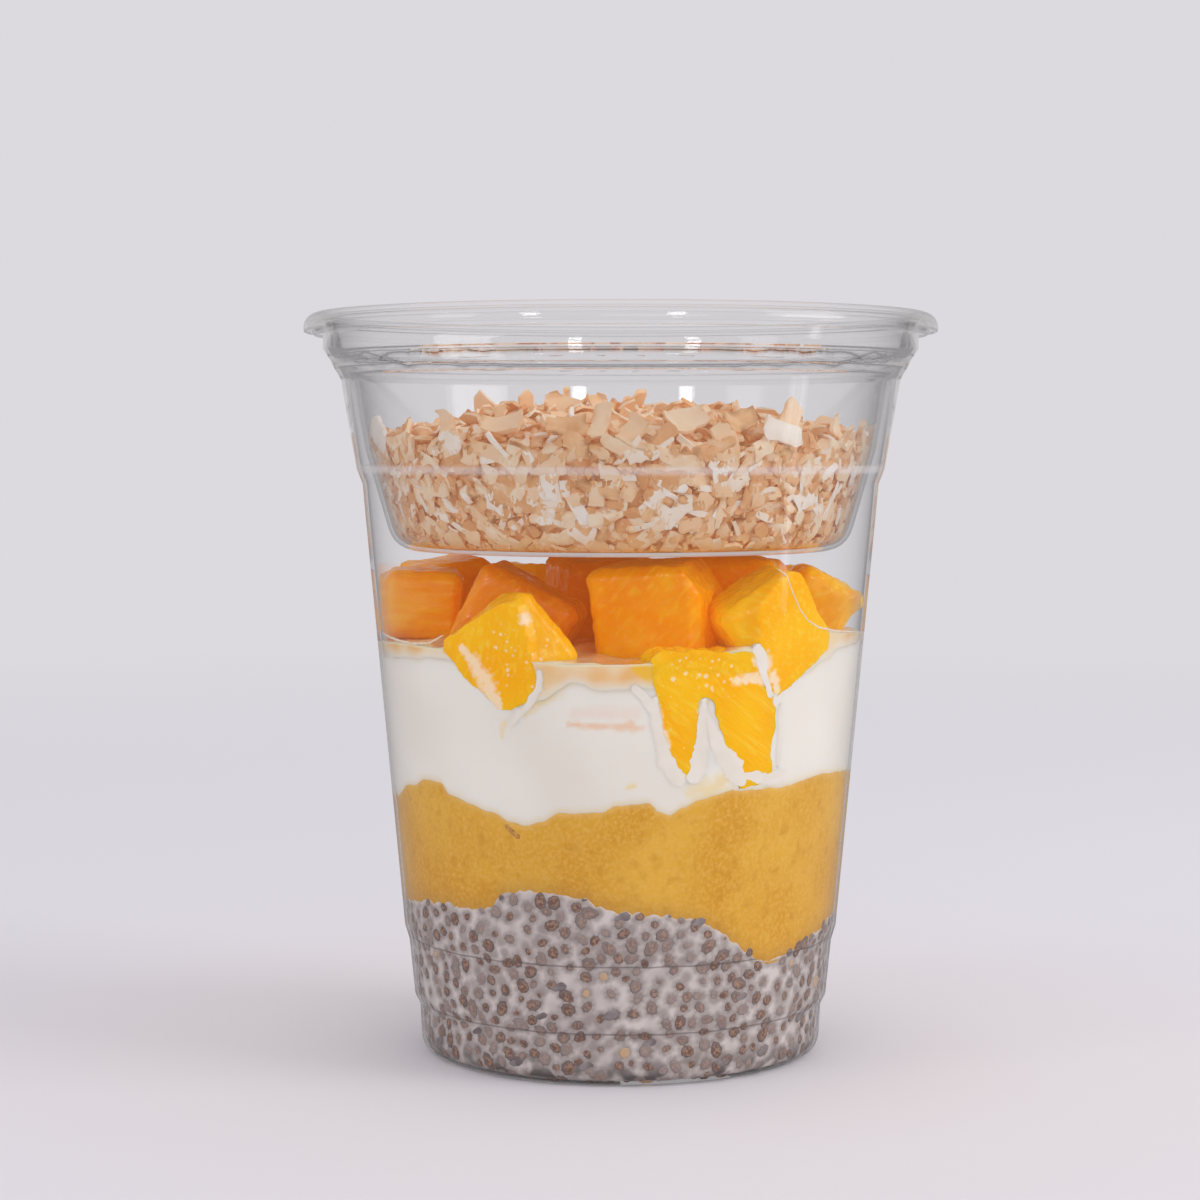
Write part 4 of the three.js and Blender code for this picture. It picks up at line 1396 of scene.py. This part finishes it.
# %% Mush between the pieces
MUSH = [
    [(9.0, 62.2, 0.8), (13.0, 62.7, 1.3), (19.0, 62.9, 1.5), (25.6, 62.4, 1.3), (30.0, 61.8, 0.8)],
]
mush = films("mango_mush", MUSH, 0.2, 0.8, MANGO_FINISHES["yellow"])
set_attribute(mush, "grain", points_of(mush))
painted(mush, "flecked", FLECKED)
face_the_wall(mush, WHOLE_FACE)
settle(mush, "mango")

# %% [markdown]
# ## Toasted coconut
# The insert is heaped with flakes, shreds and crumbs of coconut. Some are white, most are cream or tan,
# and the toasted ones have brown edges. One finish with a random colour would mix them at every place
# alike, but the kinds differ in colour as well as in shape, so there are four finishes. All are a little
# orange near the insert's floor, a painted reflection of the mango below, and glow faintly, for the light
# that goes from flake to flake.

# %% Coconut materials
WARMTH = 0.06  # strength of the glow
WARM_LIGHT = (1.0, 0.5, 0.22, 1)
MANGO_REFLECTION = (0.93, 0.55, 0.22, 1)
GOLD, BROWN = (0.80, 0.42, 0.16, 1), (0.42, 0.16, 0.06, 1)


def coconut_material(name, pale, dark, toast, toasted):
    made, tree, shader, _ = new_material(name)
    base = mixed(tree, attribute(tree, "shade"), pale, dark)
    cloud = blotch_mask(tree, Scale=450.0, Detail=2.0, Low=0.4, High=0.9)
    base = mixed(tree, cloud, base, dark)
    rim = math_node(tree, "MULTIPLY", attribute(tree, "rim"), toasted)
    patch = math_node(tree, "MULTIPLY", rim, blotch_mask(tree, Scale=300.0, Detail=1.0, Low=0.5, High=0.7))
    colour = mixed(tree, patch, base, toast)
    place = add_node(tree, "ShaderNodeTexCoord").outputs["Object"]
    # Painted reflection of the mango below: a little orange near the insert's floor.
    low = share_of(tree, height_of(tree, place), INSERT_FLOOR + 0.8 * MM, INSERT_FLOOR + 4.5 * MM, 0.75, 0.0)
    tree.links.new(mixed(tree, low, colour, MANGO_REFLECTION), shader.inputs["Base Color"])
    shader.inputs["Emission Color"].default_value = WARM_LIGHT
    set_sockets(shader, Emission_Strength=WARMTH)
    made.cycles.emission_sampling = "NONE"
    gloss(shader, 0.4, 0.3)
    bumpy(tree, shader, 0.3, 0.1, Coarse=800.0, Fine=2800.0)
    return made


WHITE = coconut_material("coconut_white", (0.98, 0.94, 0.87, 1), (0.93, 0.80, 0.64, 1), GOLD, 0.3)
CREAM = coconut_material("coconut_cream", (0.97, 0.84, 0.64, 1), (0.92, 0.60, 0.35, 1), GOLD, 0.85)
TAN = coconut_material("coconut_tan", (0.94, 0.62, 0.34, 1), (0.76, 0.35, 0.14, 1), BROWN, 0.95)
CRUMB = coconut_material("coconut_crumb", (0.96, 0.72, 0.45, 1), (0.76, 0.39, 0.17, 1), GOLD, 0.7)
print("coconut finishes:", [made.name for made in (WHITE, CREAM, TAN, CRUMB)])

# %% [markdown]
# A flake is a thin slab, bent, a little twisted, with a ragged rim. It could be cut from a sheet that
# is crumpled by a simulation, but hundreds are needed, so each is a grid of a few points whose places
# are worked out from a curl, a twist and some chance. Its rim is marked, because that is where it toasts,
# and its sharp edges are kept sharp.

# %% Shapes of flakes
CRISP = math.radians(38)  # edges sharper than this aren't smoothed over
RAGGED_RIM = (-0.22, 0.14)  # how far the rim goes in and out, as a share of the flake
CUT_CORNER = 0.15
THIN_RIM = 0.75


def flake_shape(length, width, thickness, curl, cells, seed):
    """Points, faces and rim marks of a bent slab with ragged sides."""
    draw = random.Random(seed)
    along, across = cells[0] + 1, cells[1] + 1
    twist = draw.uniform(-0.4, 0.4)
    lean = draw.uniform(-0.3, 0.3)
    points, marks = [], []
    ragged = [[draw.uniform(*RAGGED_RIM) for _ in range(across)] for _ in range(along)]
    for side in (1, -1):
        for i in range(along):
            for j in range(across):
                u, v = i / cells[0] - 0.5, j / cells[1] - 0.5
                edge = i in (0, cells[0]) or j in (0, cells[1])
                corner = i in (0, cells[0]) and j in (0, cells[1])
                jitter = (ragged[i][j] if edge else 0) - (CUT_CORNER if corner else 0)
                turn = 2 * curl * u
                x = length * math.sin(turn) / (2 * curl) * (1 + 0.5 * jitter) + lean * v * width
                y = width * v * (1 + jitter)
                rise = length * (1 - math.cos(turn)) / (2 * curl) + y * twist * u
                points.append((x, y, rise + side * thickness / 2 * (THIN_RIM if edge else 1.0)))
                marks.append(1.0 if edge else 0.0)
    count = along * across
    faces = grid_faces(along, across, 0, False) + grid_faces(along, across, count, False)
    rim = [i * across for i in range(along)] + [count - across + j for j in range(1, across)]
    rim += [i * across + across - 1 for i in range(along - 2, -1, -1)] + list(range(across - 2, 0, -1))
    for a, b in zip(rim, rim[1:] + rim[:1]):
        faces.append((a, b, b + count, a + count))
    return points, faces, marks


def flake_object(name, points, faces, marks, finish=None):
    made = mesh_object(name, points, faces, finish)
    recalculated(made)
    made.data.set_sharp_from_angle(angle=CRISP)
    set_attribute(made, "rim", marks)
    return made


def flakes(name, count, length, width, thickness, curl, cells, seed):
    """A few shapes of one kind, with sizes between two values in millimetres."""
    draw = random.Random(seed)
    shapes = []
    for i in range(count):
        size = draw.uniform(*length) * MM, draw.uniform(*width) * MM, draw.uniform(*thickness) * MM
        shape = flake_shape(*size, draw.uniform(0.2, curl) * draw.choice((-1, 1)), cells, seed + i)
        shapes.append(flake_object(f"{name}_{i}", *shape))
    return kinds_of(name, shapes)


curls = flakes("curls", 8, (5.0, 9.0), (2.2, 4.2), (0.6, 0.9), 1.1, (5, 2), 20)
chips = flakes("chips", 12, (3.0, 6.0), (2.0, 4.0), (0.7, 1.1), 0.6, (4, 3), 40)
shreds = flakes("shreds", 8, (3.5, 7.5), (0.8, 1.4), (0.6, 0.9), 0.7, (4, 1), 60)
bits = flakes("bits", 10, (1.4, 3.2), (0.9, 2.0), (0.7, 1.1), 0.5, (3, 2), 80)
grains = flakes("grains", 6, (0.7, 1.4), (0.6, 1.1), (0.5, 0.9), 0.3, (1, 1), 90)

# %% [markdown]
# Flakes all the way down would be a million faces that nobody sees. The heap is hollow in that sense: a
# lumpy core just inside the insert's wall, with a low dome on top, carries one or two layers of flakes.
# A second smooth dome, the crest, only carries the curls and chips that stand up on top, and is dropped.

# %% The core of the heap
HEAP_EDGE = 95.6 * MM
HEAP_CROWN = 99.0 * MM
CORE_COVER = 1.0 * MM  # how far the core stays inside the wall and under the top
CORE_STEPS = 220
CREST_STEPS = 48
DOME_SHARES = (0.95, 0.85, 0.75, 0.65, 0.55, 0.45, 0.35, 0.25, 0.15, 0.07, 0.0)


def dome_line(edge):
    rise = HEAP_CROWN - HEAP_EDGE
    return [Vector((edge * step, HEAP_CROWN - rise * step ** 2 - CORE_COVER)) for step in DOME_SHARES]


side = [p for p in moved(insert_inside, CORE_COVER) if p.y < HEAP_EDGE - 1 * MM]
side_line = []
for a, b in zip(side, side[1:]):
    parts = max(int((b - a).length / (0.8 * MM)), 1)
    side_line += [a.lerp(b, k / parts) for k in range(parts)]
core = revolve("coconut_core", side_line + [side[-1]] + dome_line(side[-1].x), CRUMB, CORE_STEPS)
places = points_of(core)
relief = 0.5 * rough(places, 1.7 * MM, 4.0) + 0.3 * rough(places, 0.8 * MM, 5.0)
top = places[:, 2] > HEAP_EDGE - 1.5 * MM
places[top, 2] += 1.2 * MM * rough(places[top], 7 * MM, 6.0)
places += normals_of(core) * (MM * relief)[:, None]
move_points(core, places)
set_attribute(core, "shade", 0.5 + 0.5 * rough(points_of(core), 2.2 * MM, 9.0))
set_attribute(core, "rim", 0.5 + 0.5 * rough(points_of(core), 1.5 * MM, 12.0))
crest_line = [Vector((0.0, HEAP_EDGE - 4 * MM))] + dome_line(side[-1].x - 2 * MM)
crest = revolve("crest", crest_line, None, CREST_STEPS)
print("core:", len(core.data.vertices), "points; its edge at radius", side[-1].x)

# %% [markdown]
# A few large flakes catch the eye at the wall. Chance would put them anywhere, so the ones in front are
# listed one by one, each by its place, size and lean, and chance adds more of them all the way round.

# %% Large flakes in front
# Each is (degrees, height, in from the wall, length, width, curl, turn in the wall, lean away from it).
LARGE = {
    "white": [
        (-15.5, 90.6, 0.7, 9.5, 3.2, 0.3, 80, 8), (4.5, 93.4, 0.6, 5.0, 3.4, 0.2, 15, 4),
        (22.5, 92.3, 0.6, 4.3, 3.8, 0.2, 70, 6), (12.5, 85.6, 0.6, 6.2, 4.4, 0.4, 40, 10),
        (-9.0, 82.2, 0.6, 4.4, 3.4, 0.2, -35, 5), (47.0, 86.6, 0.6, 4.6, 4.0, 0.5, 20, 8),
        (69.0, 92.0, 0.8, 9.0, 2.8, 0.4, 84, 10), (-30.0, 87.6, 0.5, 4.0, 1.3, 0.5, 60, 6),
        (55.0, 90.2, 0.6, 4.2, 1.4, 0.4, 30, 6), (-17.0, 84.4, 0.6, 3.8, 2.4, 0.5, 75, 8),
    ],
    "cream": [
        (-43.0, 95.4, 2.0, 9.0, 2.4, 1.5, 80, 25), (-4.5, 97.2, 3.0, 6.0, 2.6, 0.6, 78, 25),
        (2.5, 95.6, 2.2, 6.0, 3.4, 1.1, 60, 30), (42.0, 97.4, 3.0, 7.0, 3.2, 0.3, 55, 20),
        (24.0, 85.6, 0.6, 8.0, 1.2, 0.7, 76, 6), (32.0, 93.6, 0.7, 3.6, 2.6, 0.3, 30, 6),
        (15.0, 97.6, 4.0, 6.5, 4.0, 0.5, 20, 45), (-28.0, 97.0, 4.0, 7.0, 3.6, 0.6, 10, 50),
        (-60.0, 95.0, 2.0, 6.0, 3.0, 0.8, 40, 30), (60.0, 95.6, 2.0, 6.0, 3.0, 0.7, 110, 25),
        (-50.0, 87.5, 0.6, 3.6, 2.6, 0.3, 20, 5), (-24.0, 92.6, 0.6, 4.6, 2.8, 0.4, 60, 6),
    ],
    "tan": [
        (41.5, 92.8, 0.8, 6.4, 4.6, 0.4, 25, 8), (30.5, 88.0, 0.6, 6.6, 1.8, 0.3, 78, 6),
        (-36.0, 91.8, 0.7, 5.2, 4.2, 0.4, 0, 8), (-22.0, 86.2, 0.6, 4.8, 3.6, 0.5, -20, 8),
        (-54.0, 91.6, 0.7, 4.8, 3.4, 0.4, 45, 8), (10.0, 90.0, 0.6, 4.8, 3.4, 0.3, -30, 8),
        (62.0, 83.0, 0.6, 5.0, 2.4, 0.3, 75, 6), (-2.0, 88.6, 0.6, 4.4, 3.4, 0.5, 60, 10),
        (28.0, 97.4, 3.5, 6.0, 3.6, 0.7, 15, 40), (-12.0, 96.6, 3.0, 6.5, 3.6, 0.5, 0, 45),
    ],
}
print("laid by hand:", {kind: len(entries) for kind, entries in LARGE.items()})

# %% Laying the large flakes
MORE = 34  # large flakes of each colour that chance adds


def added(draw):
    """Large flakes in places and sizes left to chance."""
    entries = []
    for number in range(MORE):
        degrees = (number + draw.uniform(0, 1)) * 360 / MORE
        entries.append((degrees, draw.uniform(83, 96), 0.7, draw.uniform(3.5, 8.5), draw.uniform(1.4, 4.0),
                        draw.uniform(0.2, 0.8), draw.uniform(0, 180), draw.uniform(3, 10)))
    return entries


def laid(name, entries, finish, seed):
    """Flakes set against the insert's wall, joined into one mesh."""
    draw = random.Random(seed)
    points, faces, marks, shades = [], [], [], []
    for number, entry in enumerate(entries + added(draw)):
        degrees, height, inward, length, width, curl, turn, lean = entry
        thickness = draw.uniform(0.8, 1.1) * MM
        shape = flake_shape(length * MM, width * MM, thickness, curl, (6, 3), seed + number)
        spin = Euler((0, 0, math.radians(turn))).to_matrix()
        stand = Euler((math.radians(90 - lean), 0, 0)).to_matrix()
        face = Euler((0, 0, math.radians(degrees))).to_matrix()
        radius = insert_radius(height * MM) - inward * MM
        angle = math.radians(degrees)
        spot = Vector((radius * math.sin(angle), -radius * math.cos(angle), height * MM))
        faces += [tuple(len(points) + i for i in one) for one in shape[1]]
        points += [face @ stand @ spin @ Vector(p) + spot for p in shape[0]]
        marks += shape[2]
        shades += [draw.uniform(0, 0.7)] * len(shape[0])
    made = flake_object(name, points, faces, marks, finish)
    set_attribute(made, "shade", shades)
    return made


# %% [markdown]
# The small kinds are scattered last: curls and chips on the crest, then chips, shreds, toasted bits and
# crumbs over the whole core, each with its own spacing, tilt and lift. What would stick out through the
# insert is held just inside it.

# %% The flakes over the core
FLAKE_GAP = 0.03 * MM  # between a flake and the insert
MOST_PER_AREA = 1500000.0  # a density that the least distance always thins


def kept_inside(piece):
    """Holds what was scattered within the insert."""
    spots = points_of(piece)
    spots[:, 2] = np.maximum(spots[:, 2], INSERT_FLOOR + INSERT_WALL + FLAKE_GAP)
    move_points(piece, spots)
    press(piece, insert_radius, -FLAKE_GAP)


def heaped(name, carrier, kinds, finish, distance, sizes, tilt, lift, seed):
    made = scattered(
        name, carrier, Kinds=kinds, Distance=distance * MM, Density=MOST_PER_AREA, Smallest=sizes[0],
        Largest=sizes[1], Tilt=tilt, Lowest=lift[0] * MM, Highest=lift[1] * MM, Seed=seed, Finish=finish)
    print(name, len(made.data.polygons), "faces")
    return made


heap = [
    heaped("coconut_curls", crest, curls, CREAM, 3.6, (0.7, 1.1), 0.85, (0.4, 2.0), 2),
    heaped("coconut_crest_chips", crest, chips, TAN, 2.7, (0.7, 1.2), 0.8, (0.2, 1.4), 7),
    heaped("coconut_chips", core, chips, CREAM, 3.0, (0.6, 1.15), 0.4, (0.1, 0.8), 2),
    heaped("coconut_shreds", core, shreds, WHITE, 3.6, (0.6, 1.0), 0.5, (0.3, 1.0), 3),
    heaped("coconut_toasted_bits", core, bits, TAN, 2.3, (0.8, 1.4), 0.7, (0.0, 0.8), 4),
    heaped("coconut_crumbs", core, grains, CRUMB, 1.15, (0.7, 1.3), 1.2, (0.1, 0.9), 5),
    laid("coconut_large_white", LARGE["white"], WHITE, 110),
    laid("coconut_large_cream", LARGE["cream"], CREAM, 140),
    laid("coconut_large_tan", LARGE["tan"], TAN, 170),
]
drop(crest)
settle(core, "coconut", "coconut")
for piece in heap:
    kept_inside(piece)
    settle(piece, "coconut")

# %% [markdown]
# ## The studio
# A dessert is usually shown on a seamless pale ground in soft light with little contrast. A curved sheet
# behind the cup would do for one view, but a pale floor that melts into a sky of the same brightness
# looks the same from every side. In mirror reflections the sky is a little dimmer and the floor much
# more so, which draws the edges of the clear walls and keeps a haze off the fruit behind them.

# %% Sky
VEIL = (0.52, 0.505, 0.515, 1)  # the sky in a mirror reflection
FLOOR_VEIL = (0.30, 0.29, 0.30, 1)  # and the floor


def mirrored(tree):
    """1 for a ray that was reflected as in a mirror, else 0."""
    path = add_node(tree, "ShaderNodeLightPath")
    made = add_node(tree, "ShaderNodeMath", {
        0: path.outputs["Is Reflection Ray"], 1: path.outputs["Is Diffuse Ray"]}, operation="SUBTRACT")
    made.use_clamp = True
    return made.outputs[0]


def sky():
    world = bpy.data.worlds.new("studio")
    bpy.context.scene.world = world
    world.use_nodes = True
    tree = world.node_tree
    bright = tree.nodes["Background"]
    bright.inputs["Color"].default_value = SKY
    dim = add_node(tree, "ShaderNodeBackground", {"Color": VEIL})
    mix = add_node(tree, "ShaderNodeMixShader", {0: mirrored(tree), 1: bright.outputs[0], 2: dim.outputs[0]})
    tree.links.new(mix.outputs[0], tree.nodes["World Output"].inputs["Surface"])


sky()
bpy.context.scene.view_settings.view_transform = "Standard"
print("sky:", bpy.context.scene.world.name)

# %% Floor
FLOOR_COLOUR = (0.85, 0.83, 0.862, 1)
FLOOR_RADIUS = 3.0
FLOOR_STEPS = 24
MELT_FROM, MELT_FULL = 0.2, 0.9  # distances at which the floor starts to turn to sky, and has done so


def floor_material():
    made, tree, shader, output = new_material("floor")
    made.cycles.emission_sampling = "NONE"
    shader.inputs["Base Color"].default_value = FLOOR_COLOUR
    set_sockets(shader, Roughness=0.8, Specular_IOR_Level=0.0)
    place = add_node(tree, "ShaderNodeTexCoord")
    away = add_node(tree, "ShaderNodeVectorMath", {0: place.outputs["Object"]}, operation="LENGTH")
    melt = add_node(tree, "ShaderNodeMapRange", {
        "Value": away.outputs["Value"], "From Min": MELT_FROM, "From Max": MELT_FULL},
        interpolation_type="SMOOTHSTEP")
    bright = add_node(tree, "ShaderNodeEmission", {"Color": SKY})
    dim = add_node(tree, "ShaderNodeEmission", {"Color": FLOOR_VEIL})
    pale = add_node(tree, "ShaderNodeMixShader", {
        0: melt.outputs["Result"], 1: shader.outputs[0], 2: bright.outputs[0]})
    mix = add_node(tree, "ShaderNodeMixShader", {0: mirrored(tree), 1: pale.outputs[0], 2: dim.outputs[0]})
    tree.links.new(mix.outputs[0], output.inputs["Surface"])
    return made


def floor():
    disc = [Vector((0.0, 0.0)), Vector((MELT_FROM, 0.0)), Vector((FLOOR_RADIUS, 0.0))]
    made = revolve("floor", disc, floor_material(), FLOOR_STEPS)
    made.data.flip_normals()
    print("floor:", len(made.data.polygons), "faces")


floor()

# %% [markdown]
# Lamps could be points or suns, but both throw hard shadows that this soft light hasn't got. Panels do
# what a softbox does. The stronger one stands at the right. The narrow ones light nothing: they are there
# for the upright streaks that they leave on the wall of the cup.

# %% Lights
def panel(name, azimuth, elevation, distance, size, power, lights=True, target=70 * MM):
    """A soft panel that faces the cup, and that shows only in reflections."""
    light = bpy.data.lights.new(name, "AREA")
    light.shape = "RECTANGLE"
    light.size, light.size_y = size
    light.energy = power
    made = bpy.data.objects.new(name, light)
    a, e = math.radians(azimuth), math.radians(elevation)
    away = Vector((math.sin(a) * math.cos(e), -math.cos(a) * math.cos(e), math.sin(e)))
    made.location = Vector((0, 0, target)) + away * distance
    made.rotation_euler = (-away).to_track_quat("-Z", "Y").to_euler()
    made.visible_camera = False
    made.visible_diffuse = lights
    bpy.context.scene.collection.objects.link(made)


panel("key", 72, 24, 1.0, (0.5, 0.55), 2.8)
panel("fill", -62, 18, 1.1, (0.32, 0.5), 0.8)
panel("above", 20, 80, 1.0, (0.9, 0.9), 0.3)
panel("front", 12, 6, 1.2, (0.8, 0.3), 0.7)
panel("streak_right", 20, 22, 0.9, (0.09, 0.25), 0.9, lights=False)
panel("streak_left", -32, 22, 0.9, (0.09, 0.25), 0.9, lights=False)
panel("low_strip", 76, -6, 0.33, (0.02, 0.06), 0.01, lights=False)
print("panels:", len(bpy.data.lights))

# %% [markdown]
# ## The camera
# A camera can be aimed with a constraint, but its place was found by fitting the ellipses of the rim and
# the foot, so it is given as it is. The long lens stands at the height of the shoulder and looks very
# slightly down, which flattens the rim to a thin ellipse and opens the rings near the foot.

# %% Camera
LENS = 83.68  # in millimetres, as a lens is named
EYE = Vector((0, -435, 94.61)) * MM
LOOKS_DOWN, LOOKS_LEFT = math.radians(3.242), math.radians(0.419)

camera_lens = bpy.data.cameras.new("camera")
camera_lens.lens = LENS
camera_lens.sensor_width = 36
camera_lens.clip_start = 10 * MM
camera = bpy.data.objects.new("camera", camera_lens)
camera.location = EYE
camera.rotation_euler = (math.pi / 2 - LOOKS_DOWN, 0, LOOKS_LEFT)
bpy.context.scene.collection.objects.link(camera)
bpy.context.scene.camera = camera
print("camera at", list(camera.location))
